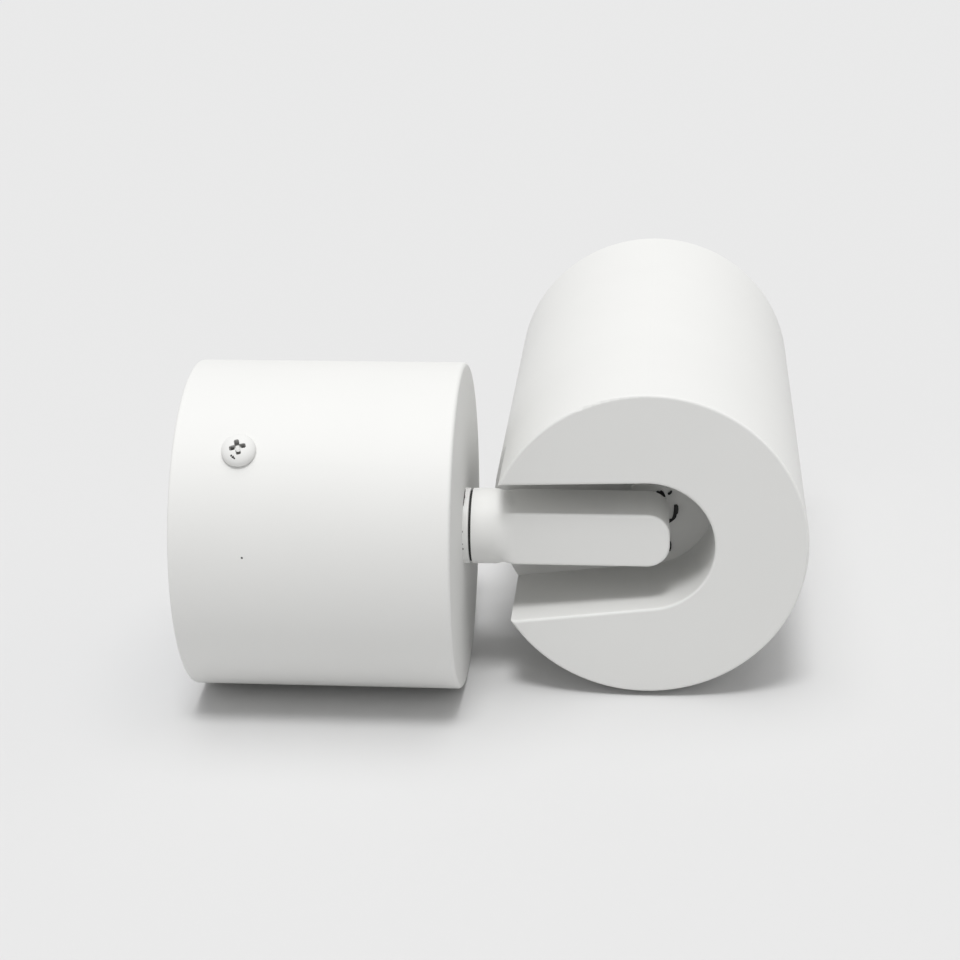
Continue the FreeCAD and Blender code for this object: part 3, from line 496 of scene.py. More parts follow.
def swept(points: Sequence[Vector], radius: float, sides: int = 24) -> BMesh:
    """Sweeps a circle along a line. The UV's U goes once round, and its V is the length in millimetres.

    Args:
        points: the line, in millimetres.
        radius: of the circle.
        sides: how many faces there are round it.

    Returns:
        The closed tube, in millimetres.
    """
    mesh = bmesh.new()
    uv = mesh.loops.layers.uv.new("UVMap")
    ways = [(b - a).normalized() for a, b in zip(points, points[1:])]
    side = ways[0].orthogonal().normalized()
    rings, lengths = [], [0.0]
    for i, point in enumerate(points):
        way = (ways[max(i - 1, 0)] + ways[min(i, len(ways) - 1)]).normalized()
        side = (side - way * side.dot(way)).normalized()
        up = way.cross(side)
        turns = (math.tau * j / sides for j in range(sides))
        outward = (side * math.cos(a) + up * math.sin(a) for a in turns)
        rings.append([mesh.verts.new(point + step * radius) for step in outward])
        if i:
            lengths.append(lengths[-1] + (point - points[i - 1]).length)
    for i, (low, high) in enumerate(zip(rings, rings[1:])):
        for j in range(sides):
            k = (j + 1) % sides
            face = mesh.faces.new((low[j], low[k], high[k], high[j]))
            for loop, u, v in zip(face.loops, (j, j + 1, j + 1, j), (i, i, i + 1, i + 1)):
                loop[uv].uv = (u / sides, lengths[v])
    mesh.faces.new(reversed(rings[0]))
    mesh.faces.new(rings[-1])
    bmesh.ops.recalc_face_normals(mesh, faces=mesh.faces)
    return mesh


def bent(corners: Sequence[tuple[float, float, float]], bend: float, steps: int = 8) -> list[Vector]:
    """Gives the line of a wire that was bent round a former at each corner.

    Args:
        corners: where its straight runs would meet, in millimetres.
        bend: the former's radius.
        steps: points on each bend.

    Returns:
        The line's points.
    """
    points = [Vector(c) for c in corners]
    line = [points[0]]
    for before, corner, after in zip(points, points[1:], points[2:]):
        back, ahead = (before - corner).normalized(), (after - corner).normalized()
        half = back.angle(ahead) / 2
        reach = bend / math.tan(half)
        centre = corner + (back + ahead).normalized() * (bend / math.sin(half))
        start, end = corner + back * reach - centre, corner + ahead * reach - centre
        line += [centre + start.slerp(end, i / steps) * bend for i in range(steps + 1)]
    return line + [points[-1]]


def placed(name: str, data: bpy.types.ID) -> Object:
    """Puts an object that shows some data into the scene, at the origin."""
    obj = bpy.data.objects.new(name, data)
    bpy.context.scene.collection.objects.link(obj)
    return obj


def object_of(name: str, mesh: BMesh) -> Object:
    """Makes an object of a mesh in millimetres, smooth where its faces meet at a low angle.

    Args:
        name: the object's name.
        mesh: what it shows. It is freed.

    Returns:
        The object, at the origin.
    """
    data = bpy.data.meshes.new(name)
    mesh.to_mesh(data)
    mesh.free()
    data.transform(Matrix.Scale(MM, 4))
    data.shade_smooth()
    data.set_sharp_from_angle(angle=math.radians(35))
    return placed(name, data)


def finished(obj: Object) -> Object:
    """Makes an object's modifiers part of its mesh, so that none is left on it."""
    bpy.context.view_layer.update()
    done = bpy.data.meshes.new_from_object(obj.evaluated_get(bpy.context.evaluated_depsgraph_get()))
    obj.modifiers.clear()
    obj.data = done
    return obj


def carved(obj: Object, tool: Object, how: str = "DIFFERENCE") -> Object:
    """Cuts a tool out of an object, or joins it on, and removes the tool.

    Args:
        obj: the object that is changed.
        tool: what is taken away or added.
        how: DIFFERENCE or UNION.

    Returns:
        The changed object.
    """
    cut = obj.modifiers.new("carve", "BOOLEAN")
    cut.object, cut.operation, cut.solver = tool, how, "EXACT"
    finished(obj)
    bpy.data.objects.remove(tool)
    return obj


def set_along(place: Sequence[float], way: Sequence[float], side: Sequence[float]) -> Matrix:
    """Gives the move of a piece made along +Z from the origin.

    Args:
        place: where its origin goes, in millimetres.
        way: where its Z axis points.
        side: where its X axis points.

    Returns:
        The move, in metres.
    """
    up, right = Vector(way).normalized(), Vector(side).normalized()
    turn = Matrix((right, up.cross(right), up)).transposed().to_4x4()
    return Matrix.Translation(Vector(place) * MM) @ turn


class Pattern:
    """A Geometry Nodes tree that repeats a piece. Its inputs are the pattern's sizes and the finishes."""

    def __init__(self, name: str, sizes: dict[str, tuple[str, float]]) -> None:
        """Makes the tree's inputs.

        Args:
            name: of the tree.
            sizes: for each input's name, its socket type and its value where none is given.
        """
        self.tree = bpy.data.node_groups.new(name, "GeometryNodeTree")
        face = self.tree.interface
        face.new_socket("Geometry", in_out="INPUT", socket_type="NodeSocketGeometry")
        for label, (kind, value) in sizes.items():
            face.new_socket(label, in_out="INPUT", socket_type=kind).default_value = value
        for label in ("Finish", "Second Finish"):
            face.new_socket(label, in_out="INPUT", socket_type="NodeSocketMaterial")
        face.new_socket("Geometry", in_out="OUTPUT", socket_type="NodeSocketGeometry")
        self.inputs = add_node(self.tree, "NodeGroupInput").outputs

    def end(self, points: Node, rotation: Node | None = None) -> None:
        """Sets the piece on each point, makes the copies real and gives them their finishes.

        Args:
            points: where the copies go.
            rotation: how each is turned, or None where none is.
        """
        tree, given = self.tree, self.inputs
        place = {"Points": points, "Instance": given["Geometry"]}
        if rotation:
            place["Rotation"] = rotation
        copies = add_node(tree, "GeometryNodeInstanceOnPoints", place)
        real = add_node(tree, "GeometryNodeRealizeInstances", {"Geometry": copies})
        marked = add_node(tree, "GeometryNodeInputNamedAttribute", {"Name": "second"}, data_type="BOOLEAN")
        coat = add_node(tree, "GeometryNodeSetMaterial", {"Geometry": real, "Material": given["Finish"]})
        inner = {"Geometry": coat, "Selection": marked, "Material": given["Second Finish"]}
        add_node(tree, "NodeGroupOutput", {"Geometry": add_node(tree, "GeometryNodeSetMaterial", inner)})

    def repeat(self, obj: Object, finish: Finish, second: Finish | None = None, **sizes: float) -> Object:
        """Repeats an object's mesh and gives it its finish.

        Args:
            obj: the piece. Its mesh becomes the whole pattern.
            finish: of the piece.
            second: of the faces marked "second", where there are any.
            sizes: the pattern's inputs by name, with _ for a space.

        Returns:
            The object.
        """
        values = {name.replace("_", " "): value for name, value in sizes.items()}
        values |= {"Finish": finish.material(), "Second Finish": (second or finish).material()}
        obj.data.materials.clear()
        obj.data.materials.append(finish.material())
        modifier = obj.modifiers.new("pattern", "NODES")
        modifier.node_group = self.tree
        for item in self.tree.interface.items_tree:
            if item.name in values:
                modifier[item.identifier] = values[item.name]
        return finished(obj)


class RingPattern(Pattern):
    """Copies of a piece turned round the local Z axis."""

    def __init__(self) -> None:
        """Lays the points, all on the axis, and turns each copy a step further."""
        sizes = {"Count": ("NodeSocketInt", 6), "Turn": ("NodeSocketFloat", math.tau / 6)}
        super().__init__("ring_pattern", sizes)
        spots = {"Count": self.inputs["Count"], "Offset": (0, 0, 0)}
        line = add_node(self.tree, "GeometryNodeMeshLine", spots)
        index = add_node(self.tree, "GeometryNodeInputIndex")
        turn = add_node(self.tree, "ShaderNodeMath", {0: index, 1: self.inputs["Turn"]}, operation="MULTIPLY")
        self.end(line, add_node(self.tree, "ShaderNodeCombineXYZ", {"Z": turn}))


class RowPattern(Pattern):
    """Copies of a piece in rows and columns, along the local X and Y axes, about the pattern's middle."""

    def __init__(self) -> None:
        """Lays a line of points on each point of another line."""
        sizes = {}
        for way in ("X", "Y"):
            sizes |= {f"{way} Count": ("NodeSocketInt", 1), f"{way} Step": ("NodeSocketFloat", 1)}
        super().__init__("row_pattern", sizes)
        lines = []
        for way in ("X", "Y"):
            count, step = self.inputs[f"{way} Count"], self.inputs[f"{way} Step"]
            gaps = add_node(self.tree, "ShaderNodeMath", {0: count, 1: 1.0}, operation="SUBTRACT")
            back = add_node(self.tree, "ShaderNodeMath", {0: gaps, 1: step}, operation="MULTIPLY")
            half = add_node(self.tree, "ShaderNodeMath", {0: back, 1: -0.5}, operation="MULTIPLY")
            start = add_node(self.tree, "ShaderNodeCombineXYZ", {way: half})
            offset = add_node(self.tree, "ShaderNodeCombineXYZ", {way: step})
            spots = {"Count": count, "Start Location": start, "Offset": offset}
            lines.append(add_node(self.tree, "GeometryNodeMeshLine", spots))
        grid = add_node(self.tree, "GeometryNodeInstanceOnPoints", {"Points": lines[0], "Instance": lines[1]})
        self.end(add_node(self.tree, "GeometryNodeRealizeInstances", {"Geometry": grid}))


@dataclass(frozen=True)
class MachineScrew:
    """A threaded screw along +Z, with the underside of its head at the origin. Sizes are in millimetres."""

    shank_d: float
    shank_l: float
    pitch: float
    head_d: float
    head_h: float
    recess: Recess = Recess.CROSS
    recess_l: float = 2.9
    recess_w: float = 0.85
    recess_depth: float = 1.2
    pool_r: float = 0.0  # of the drop of paint in the middle of the recess
    turn: float = 0.0  # of the recess, in degrees
    sides: int = 48
    rows_a_turn: int = 6  # of the thread
    thread_share: float = 0.54  # the thread's depth over its pitch
    brim_share: float = 0.22  # the height of the head's straight rim over the head's
    dome_steps: int = 14
    slack: float = 0.02  # by which a headless screw's end stands proud, so that the recess cuts it cleanly

    @property
    def top(self) -> float:
        """Gives the height of the end that the driver meets."""
        return max(self.head_h, self.slack)

    def outline(self) -> list[tuple[float, float, float]]:
        """Gives radius, height and thread depth, from the tip to the top of the head.

        Returns:
            The rows of the screw's surface.
        """
        depth = self.thread_share * self.pitch
        rows = [(0.0, -self.shank_l, 0.0)]
        count = max(2, round(self.shank_l / self.pitch * self.rows_a_turn))
        for i in range(count + 1):
            height = -self.shank_l + self.shank_l * i / count
            ease = min(1.0, (height + self.shank_l) / self.pitch, -height / self.pitch + 0.001)
            core = self.shank_d / 2 - depth * (1 - ease) * 0.6
            rows.append((core, height, depth * ease))
        if self.head_d <= self.shank_d:
            return rows + [(self.shank_d / 2 - depth, self.top, 0.0), (0.0, self.top, 0.0)]
        edge, brim = self.head_d / 2, self.head_h * self.brim_share
        rows += [(edge - 0.12, 0.0, 0.0), (edge, 0.1, 0.0), (edge, brim, 0.0)]
        for i in range(1, self.dome_steps + 1):
            rise = math.pi / 2 * i / self.dome_steps
            radius = edge * math.cos(rise) ** 0.85 if i < self.dome_steps else 0.0
            rows.append((radius, brim + (self.head_h - brim) * math.sin(rise), 0.0))
        return rows

    def tool(self, arm: int) -> BMesh:
        """Makes what one arm of the driver's recess is cut with, a little narrower at its floor.

        Args:
            arm: 0 or 1, the second a quarter turn further.

        Returns:
            The cutting mesh.
        """
        mesh = bmesh.new()
        spin = Matrix.Rotation(math.radians(self.turn + 90 * arm), 4, "Z")
        apart = 0.003 * arm  # keeps the faces of the two arms from lying in one plane
        rims = []
        for height, size in ((self.top - self.recess_depth, 0.72), (self.top + 0.4, 1.1)):
            half_l, half_w = self.recess_l / 2 * size, self.recess_w / 2 * size
            quarter = [(half_l, half_w * 0.7), (half_l * 0.85, half_w)]
            half = quarter + [(-x, y) for x, y in reversed(quarter)]
            loop = half + [(x, -y) for x, y in reversed(half)]
            rims.append([mesh.verts.new(spin @ Vector((x, y, height + apart))) for x, y in loop])
        skinned(mesh, rims, capped=True)
        return mesh

    def build(self, name: str) -> Object:
        """Makes the screw, its thread and its recess, whose faces are marked for the second finish.

        Args:
            name: the object's name.

        Returns:
            The screw, at the origin.
        """
        mesh = bmesh.new()
        rings = []
        for radius, height, depth in self.outline():
            ring = []
            for i in range(self.sides if radius else 1):
                share = i / self.sides
                wave = abs(2 * ((height / self.pitch - share) % 1.0) - 1)
                out, way = radius - depth * wave, math.tau * share
                ring.append(mesh.verts.new((out * math.cos(way), out * math.sin(way), height)))
            rings.append(ring)
        skinned(mesh, rings)
        screw = object_of(name, mesh)
        for arm in range(self.recess.value):
            carved(screw, object_of(name + "_tool", self.tool(arm)))
        if self.pool_r:
            foot, brim, peak = self.head_h - self.recess_depth - 0.2, self.head_h - 0.75, self.head_h - 0.6
            drop = [(0, foot), (self.pool_r, foot), (self.pool_r, brim), (0, peak)]
            carved(screw, object_of(name + "_drop", turned(drop, 40)), "UNION")
        self.mark(screw.data)
        return screw

    def mark(self, mesh: Mesh) -> None:
        """Marks the faces inside the recess."""
        layer = mesh.attributes.new("second", "BOOLEAN", "FACE")
        floor = self.top - self.recess_depth
        for face in mesh.polygons:
            middle = face.center / MM
            across = math.hypot(middle.x, middle.y)
            wall = abs(face.normal.z) < 0.6 and floor < middle.z < self.top
            inside = wall or abs(middle.z - floor) < 0.02
            layer.data[face.index].value = inside and across < self.recess_l * 0.56


@dataclass
class Kit:
    """What the sub-assemblies share: the patterns, and how a piece is put in its place."""

    ring: RingPattern = field(default_factory=RingPattern)
    rows: RowPattern = field(default_factory=RowPattern)

    def paint(self, names: str, finish: Finish) -> None:
        """Gives nodes of the frame their finish.

        Args:
            names: the nodes.
            finish: what they get.
        """
        for name in names.split():
            for place in frame["nodes"][name].material_slots:
                place.material = finish.material()
            LOG.info("%s keeps its shape, in %s", name, finish.name)

    def set_in(self, obj: Object, body: Body, slot: str, *nodes: str, move: Matrix | None = None) -> None:
        """Puts a finished piece in its place on its body.

        Args:
            obj: the piece.
            body: what it rides on.
            slot: the record's material slot; not used.
            nodes: the nodes that it stands for.
            move: from where it was made to its place.
        """
        if move is not None:
            obj.data.transform(move)
        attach(obj, body.value)
        if nodes:
            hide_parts(*nodes)
        LOG.info("%s: %d faces, stands for %s", obj.name, len(obj.data.polygons), ", ".join(nodes) or "itself")

    def tube(
        self, name: str, line: Sequence[Vector], radius: float, finish: Finish, body: Body, slot: str
    ) -> None:
        """Makes a wire or a sleeve in the place of its node.

        Args:
            name: the node that it stands for.
            line: the points that it follows.
            radius: of its section.
            finish: what it is made of.
            body: what it rides on.
            slot: the record's slot.
        """
        obj = object_of(name + "_drawn", swept(line, radius))
        obj.data.materials.append(finish.material())
        self.set_in(obj, body, slot, name)


# --- Sub-assemblies -------------------------------------------------------------------------------


@dataclass
class BaseDrum:
    """The drum on the ceiling, its plate, its screws and the wiring inside. Sizes are in millimetres."""

    kit: Kit
    radius: float = 29.0
    side_screw: MachineScrew = MachineScrew(
        shank_d=3.0, shank_l=5.1, pitch=0.5, head_d=5.9, head_h=1.7, pool_r=0.6, turn=14, sides=64
    )
    screw_x: float = 11.5
    screw_turn: float = 47.0  # from the side towards the top, in degrees
    plate_t: float = 1.2
    block_h: float = 12.0
    block_middle_z: float = -15.5
    block_screw: MachineScrew = MachineScrew(shank_d=2.6, shank_l=12.9, pitch=0.45, head_d=5.4, head_h=1.8)
    block_screw_y: float = 4.0
    clamp_screw: MachineScrew = MachineScrew(
        shank_d=2.6, shank_l=4.2, pitch=0.45, head_d=0, head_h=0,
        recess=Recess.SLOT, recess_l=4.0, recess_w=0.6, recess_depth=0.6, turn=90, sides=32,
    )
    clamp_depth: float = 1.02  # below the block's face
    clamp_offset: float = 3.6  # from the middle of a barrel
    pole_pitch: float = 8.0
    earth_screw: MachineScrew = MachineScrew(
        shank_d=4.0, shank_l=1.7, pitch=0.7, head_d=7.0, head_h=2.2, recess_l=3.6, recess_w=1.0
    )
    earth_z: float = 15.0
    lug_t: float = 0.8
    wire_r: float = 0.8
    wire_spread: float = 2.0  # between the two wires where they enter the sleeve

    def build(self) -> None:
        """Builds the screws and the wires, and dresses the rest."""
        self.kit.paint("base_drum", DRUM_POWDER)
        self.kit.paint("ceiling_plate stop_pin", ZINC)
        self.kit.paint("cable_bush", RUBBER)
        self.kit.paint("terminal_block", NYLON)
        self.kit.paint("terminal_barrels", BRASS)
        self.kit.paint("earth_lug", TINNED)
        self.side_screws()
        self.inner_screws()
        self.wires()

    def side_screws(self) -> None:
        """Sets the two painted screws in the drum's side, opposite each other."""
        turn = math.radians(self.screw_turn)
        screw = self.side_screw.build("painted_side_screws")
        screw.data.transform(set_along((self.radius, 0, 0), AHEAD, UP))
        self.kit.ring.repeat(screw, SCREW_POWDER, WORN_STEEL, Count=2, Turn=math.pi)
        place = set_along((self.screw_x, 0, 0), AHEAD, (0, -math.cos(turn), math.sin(turn)))
        self.kit.set_in(screw, Body.BASE, "white_powder_coat", "side_screws", move=place)

    def inner_screws(self) -> None:
        """Sets the clamp screws in the terminal block, and the screws of the block and the earth."""
        block_top = self.plate_t + self.block_h
        clamp = self.clamp_screw.build("slotted_clamp_screws")
        steps = {"X_Step": self.pole_pitch * MM, "Y_Step": 2 * self.clamp_offset * MM}
        self.kit.rows.repeat(clamp, ZINC, X_Count=3, Y_Count=2, **steps)
        place = set_along((block_top - self.clamp_depth, 0, self.block_middle_z), AHEAD, BESIDE)
        self.kit.set_in(clamp, Body.BASE, "zinc_steel", "terminal_screws", move=place)
        for name, screw, at in (
            ("block_screw", self.block_screw, (block_top, self.block_screw_y, self.block_middle_z)),
            ("earth_screw", self.earth_screw, (self.plate_t + self.lug_t, 0, self.earth_z)),
        ):
            obj = screw.build("threaded_" + name)
            obj.data.materials.append(ZINC.material())
            self.kit.set_in(obj, Body.BASE, "zinc_steel", name, move=set_along(at, AHEAD, BESIDE))

    def wires(self) -> None:
        """Draws the three wires between the block, the lug and the sleeve."""
        pole_x, pole_z, lug_x = self.plate_t + self.block_h / 2, -10.5, 2.9
        for name, pole_y, end_y, finish, slot in (
            ("live_wire", 0.0, -self.wire_spread / 2, BROWN, "brown_wire"),
            ("neutral_wire", self.pole_pitch, self.wire_spread / 2, BLUE, "blue_wire"),
        ):
            corners = (
                (pole_x, pole_y, pole_z), (pole_x, pole_y, -6.0), (18.1, (pole_y + end_y) / 2, -1.5),
                (24.1, end_y, 0), (30.1, end_y, 0),
            )
            self.kit.tube(name, bent(corners, 3.0), self.wire_r, finish, Body.BASE, slot)
        earth = (
            (pole_x, -self.pole_pitch, pole_z), (pole_x, -self.pole_pitch, -5.5), (pole_x, -15.7, 1.5),
            (lug_x, -17.5, 10.5), (lug_x, -14.0, self.earth_z), (lug_x, -6.65, self.earth_z),
        )
        self.kit.tube("earth_wire", bent(earth, 1.8), self.wire_r, GREEN, Body.BASE, "green_wire")


@dataclass
class SwivelArm:
    """The arm that turns on the drum, with its stem, its washers and its sleeve. Sizes are in millimetres."""

    kit: Kit
    sleeve_r: float = 1.8
    sleeve_start_x: float = 30.4
    sleeve_end_x: float = 71.6
    sleeve_steps: int = 24

    def build(self) -> None:
        """Draws the sleeve and dresses the rest."""
        self.kit.paint("arm", POWDER)
        self.kit.paint("collar_ring", COLLAR_POWDER)
        self.kit.paint("friction_washer", RUBBER)
        self.kit.paint("swivel_stem stop_washer disc_spring stem_nut lock_nut pivot_pin", ZINC)
        self.kit.paint("glide_washer", NYLON)
        start, end = Vector((self.sleeve_start_x, 0, 0)), Vector((self.sleeve_end_x, 0, 0))
        line = [start.lerp(end, i / self.sleeve_steps) for i in range(self.sleeve_steps + 1)]
        self.kit.tube("arm_sleeve", line, self.sleeve_r, BRAID, Body.ARM, "black_rubber")


@dataclass
class LampHead:
    """The head that tilts on the arm: housing, hinge lug, holder and lamp. Sizes are in millimetres."""

    kit: Kit
    axis_x: float = 79.8
    bracket_y: float = 19.0
    bracket_screw: MachineScrew = MachineScrew(
        shank_d=3.0, shank_l=6.9, pitch=0.5, head_d=5.5, head_h=1.8, recess_l=2.7
    )
    bracket_screw_pitch: float = 33.0
    holder_y: float = 20.2
    holder_screw: MachineScrew = replace(bracket_screw, shank_l=7.9)
    holder_screw_pitch: float = 18.0
    sleeve_r: float = 1.8
    sleeve_bend: float = 2.3
    board_y: float = 75.7
    chip_w: float = 3.0
    chip_t: float = 0.8
    chip_frame_t: float = 0.5
    chip_dome_foot: float = 0.45
    chip_ring: float = 11.5
    lens_r: float = 23.3
    lens_t: float = 2.2
    lens_back: float = 4.7  # from the board's front
    skirt_t: float = 1.2
    groove_pitch: float = 0.55  # of the fine rings on the lens
    groove_depth: float = 0.16
    optic_r: float = 5.2
    optic_tip_r: float = 2.1
    dimple_depth: float = 0.75  # of the hollow in the lens before each optic
    floor_y: float = 11.28  # of the slot's floor, where the sheet of painted shade lies
    foot_y: float = 10.1  # of the tongue's foot, where a piece of the painted shade lies
    shade_sheet_t: float = 0.33

    def build(self) -> None:
        """Builds the lamp's front, the screws, the sleeve and the painted shade behind the arm's end, and
        dresses the rest.
        """
        self.kit.paint("head_housing front_ring hinge_lug", POWDER)
        self.kit.paint("lug_washer lug_nut holder_bracket", ZINC)
        self.kit.paint("lamp_holder", STEATITE)
        self.kit.paint("lamp_body", SHELL)
        self.kit.paint("lamp_pins", NICKEL)
        self.kit.paint("led_board", MASK)
        self.kit.paint("lamp_seal", SILICONE)
        self.screws()
        self.sleeve()
        self.painted_crevice_shade()
        self.lens()
        self.light_sources()

    def screws(self) -> None:
        """Sets the pair of screws in the posts and the pair in the lamp holder."""
        for name, screw, pitch, y, way in (
            ("bracket_screws", self.bracket_screw, self.bracket_screw_pitch, self.holder_y, 1),
            ("holder_screws", self.holder_screw, self.holder_screw_pitch, self.bracket_y, -1),
        ):
            pair = screw.build("threaded_" + name)
            self.kit.rows.repeat(pair, ZINC, X_Count=2, X_Step=pitch * MM, Y_Count=1, Y_Step=0.0)
            place = set_along((self.axis_x, y, 0), (0, way, 0), UP)
            self.kit.set_in(pair, Body.HEAD, "zinc_steel", name, move=place)

    def sleeve(self) -> None:
        """Draws the sleeve from the hinge to the holder."""
        start_x, bend_x, end_y = 71.9, 74.4, 21.7
        line = bent(((start_x, 0, 0), (bend_x, 0, 0), (bend_x, end_y, 0)), self.sleeve_bend)
        self.kit.tube("head_sleeve", line, self.sleeve_r, BRAID, Body.HEAD, "black_rubber")

    def painted_crevice_shade(self) -> None:
        """Lays thin black sheets on the slot's floor round the tongue's foot and on the foot: painted shade of
        the crevice behind the arm's end, whose ragged tags show past it.
        """
        flat = (
            (76.6, -2.9), (79.0, -3.6), (81.8, -4.2), (82.7, -5.6), (83.1, -7.51), (83.12, -8.7),
            (83.74, -9.19), (83.95, -9.04), (84.08, -8.48), (84.1, -7.89), (83.98, -7.33), (83.74, -7.26),
            (83.4, -5.4), (83.3, -4.2), (83.59, -3.63), (84.22, -3.13), (84.62, -2.77), (84.86, -2.43),
            (84.98, -1.86), (85.22, -1.54), (85.28, -0.95), (85.23, -0.26), (84.92, 0.07), (84.45, -0.08),
            (84.46, -0.56), (84.42, -1.35), (84.34, -1.84), (84.25, -2.3), (84.06, -2.78), (83.31, -3.05),
            (83.2, 0.5), (76.6, 0.5),
        )
        small_patch = (
            (83.35, 1.97), (83.68, 2.0), (84.02, 2.36), (84.07, 2.7), (83.79, 2.71), (83.58, 2.43),
            (83.28, 2.18),
        )
        foot_patch = (
            (81.2, 2.56), (81.2, 1.2), (82.9, 1.2), (82.9, 2.01), (82.68, 2.6), (82.42, 3.03), (82.12, 3.22),
            (81.78, 3.0), (81.5, 3.14), (81.12, 2.9),
        )
        mesh = bmesh.new()
        for outline, back in ((flat, self.floor_y), (small_patch, self.floor_y), (foot_patch, self.foot_y)):
            rims = [[mesh.verts.new((x, y, z)) for x, z in outline] for y in (back - self.shade_sheet_t, back)]
            skinned(mesh, rims, capped=True)
        bmesh.ops.triangulate(mesh, faces=mesh.faces)
        shade_sheet = object_of("painted_shade_behind_the_arm_end", mesh)
        shade_sheet.data.materials.append(RUBBER.material())
        self.kit.set_in(shade_sheet, Body.HEAD, "black_rubber")

    def lens(self) -> None:
        """Moulds the clear cover with its skirt, its fine rings and an optic before each light source."""
        front, inner_r = self.lens_back + self.lens_t, self.lens_r - self.skirt_t
        profile = [(0, self.lens_back), (inner_r, self.lens_back), (inner_r, 0), (self.lens_r, 0)]
        profile += [(self.lens_r, front - 0.3), (self.lens_r - 0.3, front)]
        for i in range(8):
            radius = self.lens_r - 1.0 - self.groove_pitch * i
            profile += [(radius, front), (radius - 0.25, front - self.groove_depth)]
        profile += [(self.lens_r - 5.4, front), (0, front)]
        lens = object_of("clear_lens_with_optics", turned(profile))
        tip = self.optic_tip_r
        optic = [(0, 1.05), (tip, 1.05), (tip + 0.9, 1.9), (tip + 1.9, 3.1)]
        optic += [(self.optic_r, self.lens_back + 0.2), (0, self.lens_back + 0.2)]
        dimple, steps = [(0, front - self.dimple_depth)], 6
        for i in range(1, steps + 1):
            rise = self.dimple_depth * (i / steps) ** 2
            dimple.append((self.optic_r * 0.88 * i / steps, front - self.dimple_depth + rise))
        dimple += [(self.optic_r * 0.95, front + 0.5), (0, front + 0.5)]
        for outline, how in ((optic, "UNION"), (dimple, "DIFFERENCE")):
            ringed = object_of("ringed", turned(outline, 48))
            ringed.data.transform(Matrix.Translation((self.chip_ring * MM, 0, 0)))
            self.kit.ring.repeat(ringed, CLEAR, Count=6, Turn=math.tau / 6)
            carved(lens, ringed, how)
            carved(lens, object_of("middle", turned(outline, 48)), how)
        lens.data.materials.clear()
        lens.data.materials.append(CLEAR.material())
        place = set_along((self.axis_x, self.board_y, 0), BESIDE, AHEAD)
        self.kit.set_in(lens, Body.HEAD, "clear_lens", "lamp_lens", move=place)

    def light_sources(self) -> None:
        """Sets a square ceramic frame with a dome of phosphor in the middle and six on a ring."""
        chips = [self.light_source(f"light_source_{i}") for i in range(2)]
        chips[0].data.transform(Matrix.Translation((self.chip_ring * MM, 0, 0)))
        place = set_along((self.axis_x, self.board_y, 0), BESIDE, AHEAD)
        for chip, name, count in zip(chips, ("ring_light_sources", "middle_light_source"), (6, 1)):
            self.kit.ring.repeat(chip, CHIP_FRAME, PHOSPHOR, Count=count, Turn=math.tau / 6)
            chip.name = name
            self.kit.set_in(chip, Body.HEAD, "phosphor", "led_chips", move=place)

    def light_source(self, name: str) -> Object:
        """Makes one light source, its dome marked for the second finish.

        Args:
            name: the object's name.

        Returns:
            The light source on the origin, facing +Z.
        """
        half, frame, foot = self.chip_w / 2, self.chip_frame_t, self.chip_dome_foot
        dome_r, dome_h = half - 0.27, self.chip_t - foot
        rows = [(half, 0.0, 1), (half, frame - 0.08, 1), (half - 0.07, frame, 1), (half - 0.24, frame, 0)]
        rows.append((dome_r, foot, 0))
        dome_at = len(rows) - 1
        for rise in (0.35, 0.7, 1.05, 1.35):
            rows.append((dome_r * math.cos(rise), foot + dome_h * math.sin(rise), 0))
        mesh = bmesh.new()
        layer = mesh.faces.layers.bool.new("second")
        rings, sides = [], 32
        for size, height, square in rows:
            ring = []
            for turn in (math.tau * (i + 0.5) / sides for i in range(sides)):
                x, y = math.cos(turn), math.sin(turn)
                reach = size / max(abs(x), abs(y)) if square else size
                ring.append(mesh.verts.new((reach * x, reach * y, height)))
            rings.append(ring)
        faces = skinned(mesh, rings, capped=True)
        for face in faces[dome_at * sides : -2] + faces[-1:]:
            face[layer] = True
        return object_of(name, mesh)


@dataclass(frozen=True)
class Lamp:
    """One soft lamp of the studio."""

    name: str
    strength: float
    angle: float  # how wide it looks from the object, in degrees
    tilt: float = 0.0  # from overhead towards the camera, in degrees

    def hang(self) -> None:
        """Hangs the lamp."""
        data = bpy.data.lights.new(self.name, "SUN")
        data.energy = self.strength
        data.angle = math.radians(self.angle)
        placed(self.name, data).rotation_euler.x = math.radians(self.tilt)


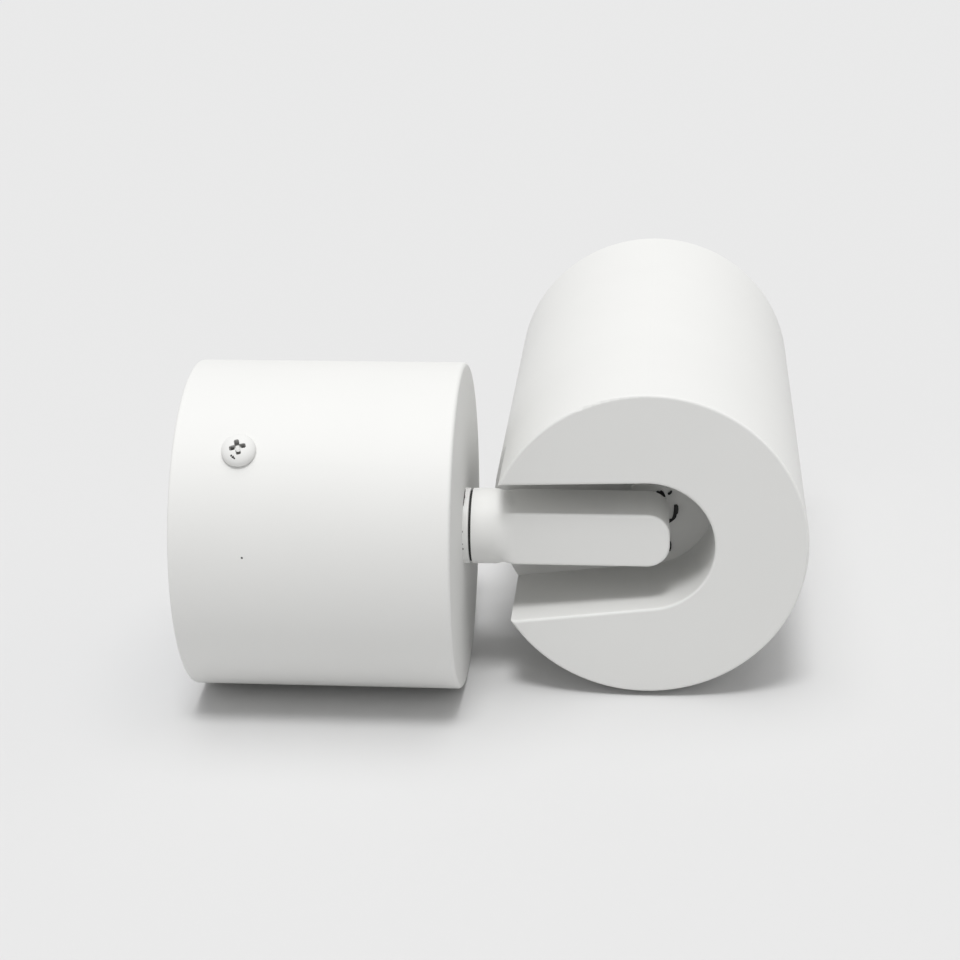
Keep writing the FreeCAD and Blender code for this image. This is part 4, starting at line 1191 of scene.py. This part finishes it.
@dataclass
class Studio:
    """The floor, the light and the camera, whose place was fitted to the outlines in the photograph."""

    floor_colour: str = "#D9D9D9"
    floor_size: float = 30.0  # metres, so that its edge lies at the horizon
    sky_strength: float = 0.46  # soft light from all sides
    background: float = 0.815  # what the camera, the metal and the glass see of the sky
    lamps: tuple[Lamp, ...] = (
        Lamp("overhead_softbox", 1.07, 50.0),
        Lamp("front_softbox", 1.27, 15.0, 20.0),
    )
    camera_at: tuple[float, float, float] = (83.58, -364.97, 155.1)
    lens: float = 83.8
    azimuth: float = 5.222
    elevation: float = 21.772
    roll: float = -1.073

    def build(self) -> None:
        """Makes the floor, the sky, the lamps and the camera."""
        self.floor()
        self.sky()
        for lamp in self.lamps:
            lamp.hang()
        self.camera()

    def floor(self) -> None:
        """Lays a pale matt floor under the drum."""
        half = self.floor_size / 2
        mesh = bpy.data.meshes.new("floor")
        corners = [(x * half, y * half, cad_box[0].z) for x, y in ((-1, -1), (1, -1), (1, 1), (-1, 1))]
        mesh.from_pydata(corners, [], [(0, 1, 2, 3)])
        material = bpy.data.materials.new("matt_paper")
        material.use_nodes = True
        shader = material.node_tree.nodes["Principled BSDF"]
        shader.inputs["Base Color"].default_value = linear(self.floor_colour)
        shader.inputs["Roughness"].default_value = 1.0
        shader.inputs["Specular IOR Level"].default_value = 0.0
        mesh.materials.append(material)
        placed("floor", mesh)

    def sky(self) -> None:
        """Makes an even white sky. What is seen of it directly is as bright as the floor."""
        world = bpy.data.worlds.new("studio_sky")
        world.use_nodes = True
        tree = world.node_tree
        tree.nodes.clear()
        path = add_node(tree, "ShaderNodeLightPath").outputs
        seen = path["Is Camera Ray"]
        for ray in ("Is Glossy Ray", "Is Transmission Ray"):
            seen = add_node(tree, "ShaderNodeMath", {0: seen, 1: path[ray]}, operation="MAXIMUM")
        light, shown = (
            add_node(tree, "ShaderNodeBackground", {"Color": (1, 1, 1, 1), "Strength": strength})
            for strength in (self.sky_strength, self.background)
        )
        both = add_node(tree, "ShaderNodeMixShader", {0: seen, 1: light, 2: shown})
        add_node(tree, "ShaderNodeOutputWorld", {"Surface": both})
        bpy.context.scene.world = world

    def camera(self) -> None:
        """Sets the camera at the photograph's viewing angle."""
        data = bpy.data.cameras.new("camera")
        data.lens = self.lens
        data.clip_start = 0.01
        data.clip_end = 100
        camera = placed("camera", data)
        azimuth, elevation, roll = (math.radians(a) for a in (self.azimuth, self.elevation, self.roll))
        level = math.cos(elevation)
        ahead = Vector((-math.sin(azimuth) * level, math.cos(azimuth) * level, -math.sin(elevation)))
        side = Vector((math.cos(azimuth), math.sin(azimuth), 0))
        above = side.cross(ahead)
        right = side * math.cos(roll) + above * math.sin(roll)
        up = above * math.cos(roll) - side * math.sin(roll)
        facing = Matrix((right, up, -ahead)).transposed().to_4x4()
        camera.matrix_world = Matrix.Translation(Vector(self.camera_at) * MM) @ facing
        bpy.context.scene.camera = camera


def main() -> None:
    """Builds the studio and the sub-assemblies, and reports each piece."""
    logging.basicConfig(level=logging.INFO, format="%(message)s")
    bpy.context.scene.view_settings.view_transform = "Standard"
    Studio().build()
    kit = Kit()
    for part in (BaseDrum(kit), SwivelArm(kit), LampHead(kit)):
        part.build()


if __name__ == "__main__":
    main()
